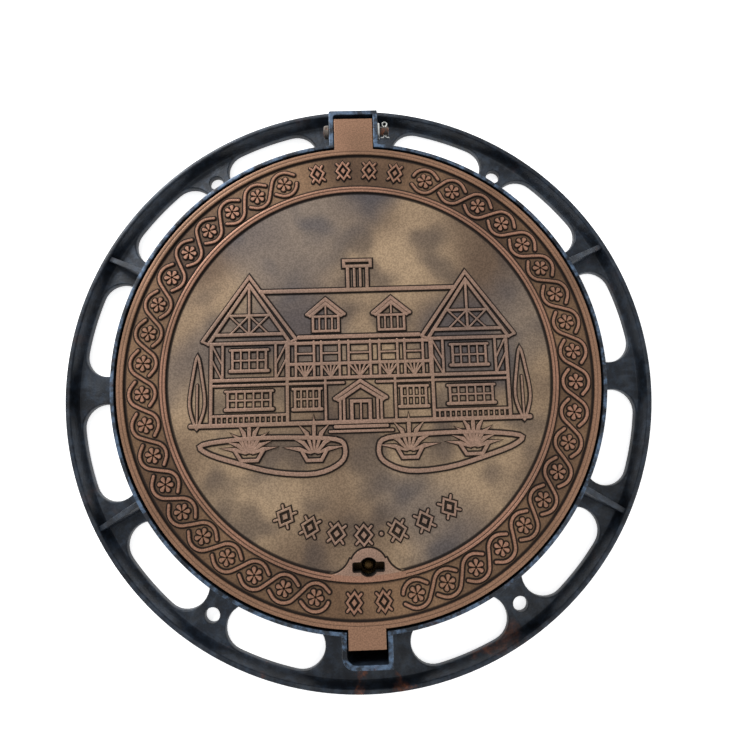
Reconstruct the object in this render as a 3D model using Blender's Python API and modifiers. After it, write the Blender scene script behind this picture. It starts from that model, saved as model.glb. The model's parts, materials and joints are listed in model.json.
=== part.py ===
"""Hinged cast-iron manhole cover in its round anchor frame, built piece by piece.

All sizes are in metres. +Z is up, +Y points at the hinge, and the origin is the centre of the
frame's underside. The cover turns on the hinge pin, and the lock turns in the cover.
"""

import math

import bmesh
import bpy
from mathutils import Matrix, Vector

# ---- overall sizes -------------------------------------------------------------------------
FRAME_RADIUS = 0.425
FRAME_HEIGHT = 0.100
COVER_RADIUS = 0.320
RIM_GAP = 0.003
RIM_WALL = 0.005
CLEAR_RADIUS = 0.300
TOUCH_GAP = 0.0003
TURN_STEPS = 72

# ---- frame ---------------------------------------------------------------------------------
FLANGE_THICKNESS = 0.012
LIP_HEIGHT = 0.028
LIP_WIDTH = 0.008
LIP_FOOT = 0.006
LEDGE_TOP = 0.060
LEDGE_UNDERSIDE = 0.046
THROAT_INNER = COVER_RADIUS + RIM_GAP
THROAT_OUTER = THROAT_INNER + RIM_WALL
GROOVE_INNER = 0.306
GROOVE_OUTER = 0.316
GROOVE_FLOOR = 0.055
SLOT_COUNT = 12
SLOT_PITCH = math.radians(28)
SLOT_FIRST = math.radians(20)
SLOT_INNER = 0.345
SLOT_OUTER = 0.4085
SLOT_SPAN = math.radians(21.7)
BOLT_HOLE_RADIUS = 0.0105
BOLT_CIRCLE = 0.3857
BOLT_ANGLES = (34.0, -34.0, 146.0, -146.0)
GUSSET_ANGLES = (62.0, -62.0, 118.0, -118.0)
GUSSET_THICKNESS = 0.008
GUSSET_TOP = 0.072

# ---- hinge and lifting pockets in the frame -------------------------------------------------
HINGE_POCKET_HALF = 0.028
HINGE_POCKET_END = 0.3715
LIFT_POCKET_HALF = 0.0255
LIFT_POCKET_END = 0.361
HINGE_POCKET_CHAMFER = 0.002
LIFT_POCKET_CORNER = 0.012
POCKET_WALL = 0.0062
POCKET_ENTRY_START = 0.316
POCKET_ENTRY_END = 0.340
POCKET_DEEP_START = 0.334
POCKET_FLOOR_TOP = 0.040
POCKET_FLOOR_UNDER = 0.034

# ---- hinge ---------------------------------------------------------------------------------
PIVOT_Y = 0.352
PIVOT_Z = 0.088
PIN_RADIUS = 0.006
PIN_HEAD_RADIUS = 0.009
PIN_HEAD_LENGTH = 0.008
BUSH_RADIUS = 0.0077
KNUCKLE_RADIUS = 0.0115
HINGE_TAB_HALF = 0.027
HINGE_TAB_END = 0.365
HINGE_TAB_DEPTH = 0.006
PIN_WASHER_RADIUS = 0.011
PIN_WASHER_THICKNESS = 0.0025
PIN_TIP_BEYOND_HOLE = 0.0055
SPLIT_PIN_X = 0.0448
SPLIT_HOLE_RADIUS = 0.0023
SPLIT_WIRE_RADIUS = 0.0009
SPLIT_EYE_RADIUS = 0.0032
SPLIT_LEG_SPREAD = 0.00115
SPLIT_LEG_LENGTH = 0.0085
SPLIT_EYE_START = 0.0078

# ---- cover ---------------------------------------------------------------------------------
COVER_TOP = FRAME_HEIGHT
FIELD_TOP = 0.097
PLATE_UNDERSIDE = 0.084
FOOT_UNDERSIDE = 0.062
FOOT_INNER = 0.304
RIM_BAND_INNER = 0.311
RING_INNER = 0.2555
RING_OUTER = 0.264
RIB_COUNT = 8
RIB_THICKNESS = 0.008
RIB_UNDERSIDE = 0.054
RING_RIB_RADIUS = 0.191
RING_RIB_HALF = 0.004
HUB_RADIUS = 0.040
HUB_DROP = 0.002
EDGE_ROUND = 0.001
RIB_DRAFT = 0.002
TAB_ROOT = 0.314
LIFT_TAB_HALF = 0.0235
LIFT_TAB_END = 0.3435
LIFT_TAB_UNDERSIDE = 0.086
BELL_TOP = 0.0995
BELL_APEX = 0.0215
BELL_SHOULDER = 0.019
BELL_FLARE = 0.024
BELL_HALF = 0.038
BELL_BASE = 0.0195
TAPPED_TOP = 0.093

# ---- lock ----------------------------------------------------------------------------------
LOCK_X = 0.004
LOCK_Y = -0.245
KEYHOLE_RADIUS = 0.011
KEY_BAR_LENGTH = 0.039
KEY_BAR_WIDTH = 0.0108
HOUSING_FLANGE_RADIUS = 0.0372
HOUSING_RADIUS = 0.0238
HOUSING_BORE = 0.021
HOUSING_UNDERSIDE = 0.0466
HOUSING_FLOOR = 0.056
SCREW_CIRCLE = 0.0305
SCREW_RADIUS = 0.0024
SCREW_TIP = 0.0918
SCREW_HEAD_RADIUS = 0.0055
SCREW_HEAD_HEIGHT = 0.004
SCREW_WASHER_RADIUS = 0.0062
SCREW_WASHER_THICKNESS = 0.0014
HOUSING_FLANGE_THICKNESS = 0.0047
PLUG_SHAFT_RADIUS = 0.009
PLUG_DISC_TOP = 0.076
PLUG_DISC_UNDER = 0.070
DOME_TOP = 0.089
DOME_RADIUS = 0.008
TONGUE_TOP = 0.0441
TONGUE_UNDERSIDE = 0.036
TONGUE_LENGTH = 0.068
TONGUE_WIDTH = 0.024
SQUARE_HALF = 0.0056
THREAD_RADIUS = 0.005
THREAD_END = 0.0235
TONGUE_HUB_RADIUS = 0.0155
TONGUE_WASHER_RADIUS = 0.0105
TONGUE_WASHER_THICKNESS = 0.002
THRUST_WASHER_RADIUS = 0.017
NUT_RADIUS = 0.0098
NUT_HEIGHT = 0.008
DISC_CLEARANCE = 0.0006
LUG_HALF = 0.0035
LUG_INNER = 0.0105
LUG_OUTER = 0.0185
LUG_TOP = 0.0805
SPRING_WIRE = 0.0012
SPRING_RADIUS = 0.015
SPRING_TURNS = 3
SPRING_STEPS = 16

# ---- finishes: colour, roughness, metallic --------------------------------------------------
FINISHES = {
    "coated_iron": ((0.030, 0.040, 0.055), 0.55, 0.35),
    "copper_finish": ((0.330, 0.205, 0.140), 0.48, 0.55),
    "seal_rubber": ((0.020, 0.020, 0.020), 0.85, 0.0),
    "zinc_steel": ((0.560, 0.560, 0.540), 0.35, 0.9),
    "lock_brass": ((0.600, 0.430, 0.190), 0.38, 0.9),
    "dark_steel": ((0.120, 0.110, 0.105), 0.50, 0.8),
}


# ---- scene helpers -------------------------------------------------------------------------
def clear_scene():
    for old in list(bpy.data.objects):
        bpy.data.objects.remove(old, do_unlink=True)


def new_collection(name):
    collection = bpy.data.collections.new(name)
    bpy.context.scene.collection.children.link(collection)
    return collection


def make_material(name):
    colour, roughness, metallic = FINISHES[name]
    material = bpy.data.materials.new(name)
    material.use_nodes = True
    shader = material.node_tree.nodes["Principled BSDF"]
    shader.inputs["Base Color"].default_value = (*colour, 1.0)
    shader.inputs["Roughness"].default_value = roughness
    shader.inputs["Metallic"].default_value = metallic
    return material


clear_scene()
PARTS = new_collection("manhole_cover")
CUTTERS = new_collection("cutters")
MATERIALS = {name: make_material(name) for name in FINISHES}


def as_part(obj, finish):
    """Put an object among the parts and give it its finish."""
    PARTS.objects.link(obj)
    obj.data.materials.clear()
    obj.data.materials.append(MATERIALS[finish])
    return obj


def as_tool(obj):
    """Put an object among the cutters, which are guides and not pieces."""
    CUTTERS.objects.link(obj)
    obj.hide_render = True
    obj.display_type = "WIRE"
    return obj


def boolean(obj, operation, tool):
    """Add or cut a tool with the exact solver."""
    as_tool(tool)
    modifier = obj.modifiers.new(tool.name, "BOOLEAN")
    modifier.operation = operation
    modifier.solver = "EXACT"
    modifier.object = tool


def mesh_object(name, bm):
    mesh = bpy.data.meshes.new(name)
    bm.to_mesh(mesh)
    bm.free()
    return bpy.data.objects.new(name, mesh)


def shade_round(obj):
    obj.data.shade_smooth()
    obj.data.set_sharp_from_angle(angle=math.radians(35))


# ---- shape helpers -------------------------------------------------------------------------
def box(name, low, high):
    """Make a box from its lowest and highest corners."""
    low = Vector(low)
    high = Vector(high)
    size = high - low
    bm = bmesh.new()
    bmesh.ops.create_cube(bm, size=1.0)
    place = Matrix.Translation((low + high) / 2) @ Matrix.Diagonal((*size, 1.0))
    bmesh.ops.transform(bm, matrix=place, verts=bm.verts)
    return mesh_object(name, bm)


def cylinder(name, radius, start, end, segments=32):
    """Make a closed cylinder between two points."""
    start = Vector(start)
    end = Vector(end)
    along = end - start
    turn = along.to_track_quat("Z", "Y").to_matrix().to_4x4()
    place = Matrix.Translation((start + end) / 2) @ turn
    bm = bmesh.new()
    bmesh.ops.create_cone(
        bm, cap_ends=True, segments=segments, radius1=radius, radius2=radius,
        depth=along.length, matrix=place,
    )
    return mesh_object(name, bm)


def turned(name, profile, steps=TURN_STEPS, closed=True):
    """Turn a profile of (radius, height) points once round the Z axis."""
    bm = bmesh.new()
    points = [bm.verts.new((radius, 0.0, height)) for radius, height in profile]
    for first, second in zip(points, points[1:]):
        bm.edges.new((first, second))
    if closed:
        bm.edges.new((points[-1], points[0]))
    obj = mesh_object(name, bm)
    screw = obj.modifiers.new("turn", "SCREW")
    screw.axis = "Z"
    screw.angle = math.tau
    screw.steps = steps
    screw.render_steps = steps
    screw.use_merge_vertices = True
    screw.merge_threshold = 0.00001
    return obj


def extruded(name, outline, low, high):
    """Extrude a flat outline of (x, y) points from one height to another."""
    curve = bpy.data.curves.new(name, "CURVE")
    curve.dimensions = "2D"
    curve.fill_mode = "BOTH"
    curve.extrude = (high - low) / 2
    spline = curve.splines.new("POLY")
    spline.points.add(len(outline) - 1)
    for point, (x, y) in zip(spline.points, outline):
        point.co = (x, y, 0.0, 1.0)
    spline.use_cyclic_u = True
    source = bpy.data.objects.new(name + "_outline", curve)
    bpy.context.scene.collection.objects.link(source)
    evaluated = source.evaluated_get(bpy.context.evaluated_depsgraph_get())
    mesh = bpy.data.meshes.new_from_object(evaluated)
    bpy.data.objects.remove(source, do_unlink=True)
    bm = bmesh.new()
    bm.from_mesh(mesh)
    bmesh.ops.remove_doubles(bm, verts=bm.verts, dist=0.000001)
    bmesh.ops.translate(bm, verts=bm.verts, vec=(0.0, 0.0, (low + high) / 2))
    bmesh.ops.recalc_face_normals(bm, faces=bm.faces)
    bm.to_mesh(mesh)
    bm.free()
    mesh.name = name
    return bpy.data.objects.new(name, mesh)


def repeated(name, source, matrices):
    """Join copies of one closed shape, each placed by its matrix, into one tool."""
    bm = bmesh.new()
    for matrix in matrices:
        mesh = source.data.copy()
        mesh.transform(matrix)
        bm.from_mesh(mesh)
        bpy.data.meshes.remove(mesh)
    bpy.data.objects.remove(source, do_unlink=True)
    return mesh_object(name, bm)


def arc(centre, radius, first, last, count):
    """Points on an arc, from one angle to another, both ends included."""
    cx, cy = centre
    angles = [first + (last - first) * step / (count - 1) for step in range(count)]
    return [(cx + radius * math.cos(a), cy + radius * math.sin(a)) for a in angles]


def compass(degrees):
    """Angle from +X of a bearing measured clockwise from the hinge."""
    return math.pi / 2 - math.radians(degrees)


def spin(angle):
    return Matrix.Rotation(angle, 4, "Z")


# ---- frame pieces ---------------------------------------------------------------------------
def frame_profile():
    lip_inner = FRAME_RADIUS - LIP_WIDTH
    return [
        (THROAT_OUTER - 0.0008, FRAME_HEIGHT), (THROAT_OUTER, FRAME_HEIGHT - 0.0012),
        (THROAT_OUTER + 0.003, FLANGE_THICKNESS + 0.006),
        (THROAT_OUTER + 0.008, FLANGE_THICKNESS),
        (lip_inner - LIP_FOOT, FLANGE_THICKNESS), (lip_inner, LIP_HEIGHT - 0.001),
        (lip_inner + 0.001, LIP_HEIGHT), (FRAME_RADIUS - 0.0015, LIP_HEIGHT),
        (FRAME_RADIUS, LIP_HEIGHT - 0.0015), (FRAME_RADIUS, 0.0), (THROAT_INNER, 0.0),
        (THROAT_INNER, LEDGE_UNDERSIDE - 0.008), (THROAT_INNER - 0.008, LEDGE_UNDERSIDE),
        (CLEAR_RADIUS, LEDGE_UNDERSIDE), (CLEAR_RADIUS, LEDGE_TOP),
        (GROOVE_INNER, LEDGE_TOP), (GROOVE_INNER, GROOVE_FLOOR),
        (GROOVE_OUTER, GROOVE_FLOOR), (GROOVE_OUTER, LEDGE_TOP),
        (THROAT_INNER, LEDGE_TOP), (THROAT_INNER, FRAME_HEIGHT - 0.0008),
        (THROAT_INNER + 0.0008, FRAME_HEIGHT),
    ]


def slot_outline():
    """One anchor slot: a band of an annulus with round ends, centred on +X."""
    end_radius = (SLOT_OUTER - SLOT_INNER) / 2
    middle = (SLOT_OUTER + SLOT_INNER) / 2
    half = SLOT_SPAN / 2 - math.asin(end_radius / middle)
    upper = (middle * math.cos(half), middle * math.sin(half))
    lower = (upper[0], -upper[1])
    outline = arc((0.0, 0.0), SLOT_OUTER, -half, half, 7)
    outline += arc(upper, end_radius, half, half + math.pi, 13)[1:-1]
    outline += arc((0.0, 0.0), SLOT_INNER, half, -half, 7)
    outline += arc(lower, end_radius, math.pi - half, math.tau - half, 13)[1:-1]
    return outline


def slot_angles():
    """Bearings of the slots' centres, symmetric about the hinge line."""
    side = [math.degrees(SLOT_FIRST + SLOT_PITCH * index) for index in range(SLOT_COUNT // 2)]
    return side + [-angle for angle in side]


def gusset():
    """A tapered web between the throat and the lip, standing on the flange, along +X."""
    foot = FLANGE_THICKNESS / 2
    lip_inner = FRAME_RADIUS - LIP_WIDTH
    outline = [
        (THROAT_OUTER - 0.002, foot), (lip_inner + 0.004, foot),
        (lip_inner + 0.004, LIP_HEIGHT - 0.004), (THROAT_OUTER - 0.002, GUSSET_TOP),
    ]
    web = extruded("web", outline, -GUSSET_THICKNESS / 2, GUSSET_THICKNESS / 2)
    web.data.transform(Matrix.Rotation(math.pi / 2, 4, "X"))
    return web


def cavity_outline(half, start, end, corner):
    """A pocket's plan, from the throat outwards; corner is the far left corner's plan."""
    return [(half, start), (half, end)] + corner + [(-half, start)]


def pocket_tools(side, half, end, corner, wall_cut_floor):
    """The outer block and the cavities of a pocket on the +Y (1) or -Y (-1) side."""
    name = "hinge" if side > 0 else "lift"
    mirror = Matrix.Diagonal((1.0, side, 1.0, 1.0))
    outer = half + POCKET_WALL
    wall_centre = THROAT_INNER + RIM_WALL / 2 - 0.0015
    block = box(
        name + "_block", (-outer, wall_centre, FLANGE_THICKNESS / 3),
        (outer, end + POCKET_WALL, FRAME_HEIGHT),
    )
    above = FRAME_HEIGHT + 0.001
    entry = box(
        name + "_entry", (-half, POCKET_ENTRY_START, wall_cut_floor),
        (half, POCKET_ENTRY_END, above),
    )
    plan = cavity_outline(half, POCKET_DEEP_START, end, corner)
    well = extruded(name + "_well", plan, POCKET_FLOOR_TOP, above)
    recess = box(
        name + "_recess", (-half, POCKET_DEEP_START, -0.001), (half, end, POCKET_FLOOR_UNDER)
    )
    tools = (block, entry, well, recess)
    for tool in tools:
        tool.data.transform(mirror)
        if side < 0:
            tool.data.flip_normals()
    return tools


def build_frame():
    frame = turned("frame_casting", frame_profile())
    web_places = [spin(compass(angle)) for angle in GUSSET_ANGLES]
    webs = repeated("gussets", gusset(), web_places)
    left = -HINGE_POCKET_HALF
    hinge_corner = [
        (left + HINGE_POCKET_CHAMFER, HINGE_POCKET_END),
        (left, HINGE_POCKET_END - HINGE_POCKET_CHAMFER),
    ]
    corner_centre = (-LIFT_POCKET_HALF + LIFT_POCKET_CORNER, LIFT_POCKET_END - LIFT_POCKET_CORNER)
    lift_corner = arc(corner_centre, LIFT_POCKET_CORNER, math.pi / 2, math.pi, 7)
    hinge_tools = pocket_tools(
        1, HINGE_POCKET_HALF, HINGE_POCKET_END, hinge_corner, LEDGE_TOP + 0.002
    )
    lift_tools = pocket_tools(
        -1, LIFT_POCKET_HALF, LIFT_POCKET_END, lift_corner, LIFT_TAB_UNDERSIDE - 0.006
    )
    boolean(frame, "UNION", webs)
    boolean(frame, "UNION", hinge_tools[0])
    boolean(frame, "UNION", lift_tools[0])
    for tool in hinge_tools[1:] + lift_tools[1:]:
        boolean(frame, "DIFFERENCE", tool)
    slot = extruded("slot", slot_outline(), -0.001, FLANGE_THICKNESS + 0.004)
    slot_places = [spin(compass(angle)) for angle in slot_angles()]
    boolean(frame, "DIFFERENCE", repeated("anchor_slots", slot, slot_places))
    hole = cylinder(
        "hole", BOLT_HOLE_RADIUS, (BOLT_CIRCLE, 0, -0.001), (BOLT_CIRCLE, 0, 0.02), 20
    )
    hole_places = [spin(compass(angle)) for angle in BOLT_ANGLES]
    boolean(frame, "DIFFERENCE", repeated("bolt_holes", hole, hole_places))
    reach = HINGE_POCKET_HALF + POCKET_WALL + 0.004
    bore = cylinder(
        "frame_pin_bore", PIN_RADIUS + TOUCH_GAP, (-reach, PIVOT_Y, PIVOT_Z),
        (reach, PIVOT_Y, PIVOT_Z), 24,
    )
    boolean(frame, "DIFFERENCE", bore)
    return as_part(frame, "coated_iron")


def build_gasket():
    inner = GROOVE_INNER + TOUCH_GAP
    outer = GROOVE_OUTER - TOUCH_GAP
    floor = GROOVE_FLOOR + TOUCH_GAP
    top = FOOT_UNDERSIDE - TOUCH_GAP
    profile = [
        (outer - 0.002, top), (outer, top - 0.0015), (outer, floor),
        (inner, floor), (inner, top - 0.0015), (inner + 0.002, top),
    ]
    return as_part(turned("seat_gasket", profile), "seal_rubber")


# ---- hinge pieces ---------------------------------------------------------------------------
def lay_along_x(obj):
    """Turn a shape made up the Z axis so that it lies on the hinge line, along +X."""
    obj.rotation_euler = (0.0, math.pi / 2, 0.0)
    obj.location = (0.0, PIVOT_Y, PIVOT_Z)


def build_hinge_pin():
    wall = HINGE_POCKET_HALF + POCKET_WALL
    head_face = -(wall + TOUCH_GAP)
    head_end = head_face - PIN_HEAD_LENGTH
    tip = SPLIT_PIN_X + PIN_TIP_BEYOND_HOLE
    profile = [
        (0.0, tip), (PIN_RADIUS - EDGE_ROUND, tip), (PIN_RADIUS, tip - EDGE_ROUND),
        (PIN_RADIUS, head_face), (PIN_HEAD_RADIUS, head_face),
        (PIN_HEAD_RADIUS, head_end + EDGE_ROUND), (PIN_HEAD_RADIUS - EDGE_ROUND, head_end),
        (0.0, head_end),
    ]
    pin = turned("hinge_pin", profile, steps=24, closed=False)
    reach = PIN_RADIUS * 2
    hole = cylinder(
        "split_hole", SPLIT_HOLE_RADIUS, (0, -reach, SPLIT_PIN_X), (0, reach, SPLIT_PIN_X), 12
    )
    boolean(pin, "DIFFERENCE", hole)
    lay_along_x(pin)
    lay_along_x(hole)
    return as_part(pin, "dark_steel")


def washer(name, inner, outer, low, high, steps=32):
    profile = [(outer, high), (outer, low), (inner, low), (inner, high)]
    return turned(name, profile, steps=steps)


def build_hinge_washer():
    low = HINGE_POCKET_HALF + POCKET_WALL + TOUCH_GAP
    high = low + PIN_WASHER_THICKNESS
    ring = washer(
        "hinge_pin_washer", PIN_RADIUS + TOUCH_GAP, PIN_WASHER_RADIUS, low, high, 24
    )
    lay_along_x(ring)
    return as_part(ring, "zinc_steel")


def build_split_pin():
    """A split pin through the end of the hinge pin: an eye, two legs, and their bent tips."""
    spread = SPLIT_LEG_SPREAD
    leg_end = -SPLIT_LEG_LENGTH
    eye_centre = SPLIT_EYE_START + SPLIT_EYE_RADIUS * 0.95
    eye_open = math.asin(spread / SPLIT_EYE_RADIUS)
    first = -math.pi / 2 + eye_open
    eye = arc((0.0, eye_centre), SPLIT_EYE_RADIUS, first, math.pi - first, 13)
    upper_tip = [(spread + 0.0046, leg_end - 0.0012), (spread + 0.0018, leg_end - 0.0006)]
    lower_tip = [(-spread - 0.0018, leg_end - 0.0006), (-spread - 0.0046, leg_end - 0.0012)]
    route = upper_tip + [(spread, leg_end + 0.001)] + eye
    route += [(-spread, leg_end + 0.001)] + lower_tip
    curve = bpy.data.curves.new("hinge_split_pin", "CURVE")
    curve.dimensions = "3D"
    curve.bevel_depth = SPLIT_WIRE_RADIUS
    curve.bevel_resolution = 2
    curve.use_fill_caps = True
    spline = curve.splines.new("POLY")
    spline.points.add(len(route) - 1)
    for point, (x, y) in zip(spline.points, route):
        point.co = (x, y, 0.0, 1.0)
    pin = bpy.data.objects.new("hinge_split_pin", curve)
    pin.location = (SPLIT_PIN_X, PIVOT_Y, PIVOT_Z)
    return as_part(pin, "zinc_steel")


def build_hinge_bush():
    half = HINGE_TAB_HALF - 0.0005
    bush = washer("hinge_bush", PIN_RADIUS + TOUCH_GAP, BUSH_RADIUS, -half, half, 32)
    lay_along_x(bush)
    return as_part(bush, "lock_brass")


# ---- cover pieces ---------------------------------------------------------------------------
def cover_profile():
    """The cover's section from the centre of its face, over the rim and back underneath."""
    hub_underside = RIB_UNDERSIDE - HUB_DROP
    rib_outer = RING_RIB_RADIUS + RING_RIB_HALF
    rib_inner = RING_RIB_RADIUS - RING_RIB_HALF
    return [
        (0.0, FIELD_TOP), (RING_INNER - EDGE_ROUND, FIELD_TOP), (RING_INNER, COVER_TOP),
        (RING_OUTER, COVER_TOP), (RING_OUTER + EDGE_ROUND, FIELD_TOP),
        (RIM_BAND_INNER - EDGE_ROUND, FIELD_TOP), (RIM_BAND_INNER, COVER_TOP),
        (COVER_RADIUS - EDGE_ROUND, COVER_TOP), (COVER_RADIUS, COVER_TOP - EDGE_ROUND),
        (COVER_RADIUS, FOOT_UNDERSIDE), (FOOT_INNER, FOOT_UNDERSIDE),
        (FOOT_INNER - RIB_DRAFT, PLATE_UNDERSIDE),
        (rib_outer + RIB_DRAFT, PLATE_UNDERSIDE), (rib_outer, hub_underside),
        (rib_inner, hub_underside), (rib_inner - RIB_DRAFT, PLATE_UNDERSIDE),
        (HUB_RADIUS + RIB_DRAFT, PLATE_UNDERSIDE), (HUB_RADIUS, hub_underside),
        (0.0, hub_underside),
    ]


def radial_rib():
    """One underside rib along +X, from the hub to the foot."""
    inside_plate = PLATE_UNDERSIDE + 0.006
    foot = FOOT_INNER + 0.003
    outline = [
        (HUB_RADIUS - 0.004, RIB_UNDERSIDE), (foot - 0.022, RIB_UNDERSIDE),
        (foot, FOOT_UNDERSIDE + 0.010), (foot, inside_plate),
        (HUB_RADIUS - 0.004, inside_plate),
    ]
    rib = extruded("rib", outline, -RIB_THICKNESS / 2, RIB_THICKNESS / 2)
    rib.data.transform(Matrix.Rotation(math.pi / 2, 4, "X"))
    return rib


def bell_outline():
    """Plan of the raised boss round the keyhole: a bell whose sides sweep out to the ring."""
    crown = arc((0.0, 0.0), BELL_APEX, math.radians(30), math.radians(150), 9)
    flare_centre = (-BELL_SHOULDER - BELL_FLARE, 0.0045)
    left_foot = arc(flare_centre, BELL_FLARE, math.radians(-8), math.radians(-80), 6)
    right_foot = [(-x, y) for x, y in reversed(left_foot)]
    base = [(-BELL_HALF, -BELL_BASE), (BELL_HALF, -BELL_BASE)]
    outline = crown + left_foot + base + right_foot
    return [(LOCK_X + x, LOCK_Y + y) for x, y in outline]


def keyhole_outline():
    """A round hole crossed by a bar slot, to pass a T-headed key."""
    half_width = KEY_BAR_WIDTH / 2
    half_length = KEY_BAR_LENGTH / 2
    edge = math.asin(half_width / KEYHOLE_RADIUS)
    upper = arc((0.0, 0.0), KEYHOLE_RADIUS, edge, math.pi - edge, 11)
    lower = arc((0.0, 0.0), KEYHOLE_RADIUS, math.pi + edge, math.tau - edge, 11)
    left = [(-half_length, half_width), (-half_length, -half_width)]
    right = [(half_length, -half_width), (half_length, half_width)]
    return [(LOCK_X + x, LOCK_Y + y) for x, y in upper + left + lower + right]


def screw_places():
    """Centres of the four lock screws."""
    return arc((LOCK_X, LOCK_Y), SCREW_CIRCLE, math.radians(45), math.radians(315), 4)


def build_cover():
    cover = turned("cover_casting", cover_profile(), closed=False)
    rib_step = math.tau / RIB_COUNT
    rib_places = [spin(rib_step * (index + 0.5) + math.pi / 2) for index in range(RIB_COUNT)]
    boolean(cover, "UNION", repeated("radial_ribs", radial_rib(), rib_places))
    hinge_tab = box(
        "hinge_tab", (-HINGE_TAB_HALF, TAB_ROOT, PIVOT_Z - HINGE_TAB_DEPTH),
        (HINGE_TAB_HALF, PIVOT_Y, COVER_TOP),
    )
    boolean(cover, "UNION", hinge_tab)
    tab_end = box(
        "hinge_tab_end", (-HINGE_TAB_HALF, PIVOT_Y - 0.004, PIVOT_Z),
        (HINGE_TAB_HALF, HINGE_TAB_END, COVER_TOP),
    )
    boolean(cover, "UNION", tab_end)
    knuckle = cylinder(
        "knuckle", KNUCKLE_RADIUS, (-HINGE_TAB_HALF, PIVOT_Y, PIVOT_Z),
        (HINGE_TAB_HALF, PIVOT_Y, PIVOT_Z), 32,
    )
    boolean(cover, "UNION", knuckle)
    lift_tab = box(
        "lift_tab", (-LIFT_TAB_HALF, -LIFT_TAB_END, LIFT_TAB_UNDERSIDE),
        (LIFT_TAB_HALF, -TAB_ROOT, COVER_TOP),
    )
    boolean(cover, "UNION", lift_tab)
    boolean(cover, "UNION", extruded("bell", bell_outline(), FIELD_TOP - 0.003, BELL_TOP))
    above = COVER_TOP + 0.001
    keyhole = extruded("keyhole", keyhole_outline(), PLATE_UNDERSIDE - 0.001, above)
    boolean(cover, "DIFFERENCE", keyhole)
    bush_bore = cylinder(
        "bush_bore", BUSH_RADIUS + TOUCH_GAP, (-0.03, PIVOT_Y, PIVOT_Z),
        (0.03, PIVOT_Y, PIVOT_Z), 32,
    )
    boolean(cover, "DIFFERENCE", bush_bore)
    tapped = cylinder(
        "tapped", SCREW_RADIUS + TOUCH_GAP, (0, 0, PLATE_UNDERSIDE - 0.001),
        (0, 0, TAPPED_TOP), 12,
    )
    places = [Matrix.Translation((x, y, 0.0)) for x, y in screw_places()]
    boolean(cover, "DIFFERENCE", repeated("tapped_holes", tapped, places))
    return as_part(cover, "copper_finish")


# ---- lock pieces ----------------------------------------------------------------------------
def at_lock(obj):
    """Move a shape made round the origin onto the lock's axis."""
    obj.location = (LOCK_X, LOCK_Y, 0.0)
    return obj


def build_lock_housing():
    top = PLATE_UNDERSIDE - TOUCH_GAP
    flange = top - HOUSING_FLANGE_THICKNESS
    hole = PLUG_SHAFT_RADIUS + TOUCH_GAP
    profile = [
        (HOUSING_FLANGE_RADIUS, top), (HOUSING_FLANGE_RADIUS, flange),
        (HOUSING_RADIUS, flange), (HOUSING_RADIUS, HOUSING_UNDERSIDE),
        (hole, HOUSING_UNDERSIDE), (hole, HOUSING_FLOOR), (HOUSING_BORE, HOUSING_FLOOR),
        (HOUSING_BORE, top),
    ]
    housing = at_lock(turned("lock_housing", profile, steps=40))
    drill = cylinder(
        "drill", SCREW_RADIUS + TOUCH_GAP, (0, 0, flange - 0.001), (0, 0, top + 0.001), 12
    )
    places = [Matrix.Translation((x, y, 0.0)) for x, y in screw_places()]
    boolean(housing, "DIFFERENCE", repeated("housing_holes", drill, places))
    return as_part(housing, "zinc_steel")


def build_lock_screws():
    """Four hexagon screws that hold the housing up to the cover, each with its washer."""
    flange = PLATE_UNDERSIDE - TOUCH_GAP - HOUSING_FLANGE_THICKNESS
    washer_top = flange - TOUCH_GAP
    washer_under = washer_top - SCREW_WASHER_THICKNESS
    head_top = washer_under - TOUCH_GAP
    head_under = head_top - SCREW_HEAD_HEIGHT
    for index, (x, y) in enumerate(screw_places(), start=1):
        screw = cylinder(
            "lock_screw_%d" % index, SCREW_HEAD_RADIUS, (0, 0, head_under), (0, 0, head_top), 6
        )
        shank_start = (head_under + head_top) / 2
        shank = cylinder(
            "shank_%d" % index, SCREW_RADIUS, (0, 0, shank_start), (0, 0, SCREW_TIP), 12
        )
        boolean(screw, "UNION", shank)
        screw.location = (x, y, 0.0)
        shank.location = (x, y, 0.0)
        as_part(screw, "zinc_steel")
        ring = washer(
            "lock_screw_washer_%d" % index, SCREW_RADIUS + TOUCH_GAP, SCREW_WASHER_RADIUS,
            washer_under, washer_top, 20,
        )
        ring.location = (x, y, 0.0)
        as_part(ring, "zinc_steel")


def build_lock_plug():
    """The rotary plug: a domed nose, a driven disc, a round shaft, a square and a thread."""
    dome_base = DOME_TOP - DOME_RADIUS
    dome = [
        (DOME_RADIUS * math.sin(a), dome_base + DOME_RADIUS * math.cos(a))
        for a in [math.pi / 2 * step / 6 for step in range(7)]
    ]
    shaft_end = TONGUE_TOP + TOUCH_GAP
    profile = dome + [
        (DOME_RADIUS, PLUG_DISC_TOP), (HOUSING_BORE - DISC_CLEARANCE, PLUG_DISC_TOP),
        (HOUSING_BORE - DISC_CLEARANCE, PLUG_DISC_UNDER), (PLUG_SHAFT_RADIUS, PLUG_DISC_UNDER),
        (PLUG_SHAFT_RADIUS, shaft_end), (THREAD_RADIUS, shaft_end),
        (THREAD_RADIUS, THREAD_END), (0.0, THREAD_END),
    ]
    plug = at_lock(turned("lock_plug", profile, steps=32, closed=False))
    square = box(
        "plug_square", (-SQUARE_HALF, -SQUARE_HALF, TONGUE_UNDERSIDE + 0.0008),
        (SQUARE_HALF, SQUARE_HALF, shaft_end + 0.002),
    )
    boolean(plug, "UNION", at_lock(square))
    for side in (-1, 1):
        lug = box(
            "plug_lug_%s" % ("near" if side < 0 else "far"),
            (-LUG_HALF, LUG_INNER, PLUG_DISC_TOP - 0.002), (LUG_HALF, LUG_OUTER, LUG_TOP),
        )
        lug.data.transform(Matrix.Diagonal((side, side, 1.0, 1.0)))
        boolean(plug, "UNION", at_lock(lug))
    return as_part(plug, "lock_brass")


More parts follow.
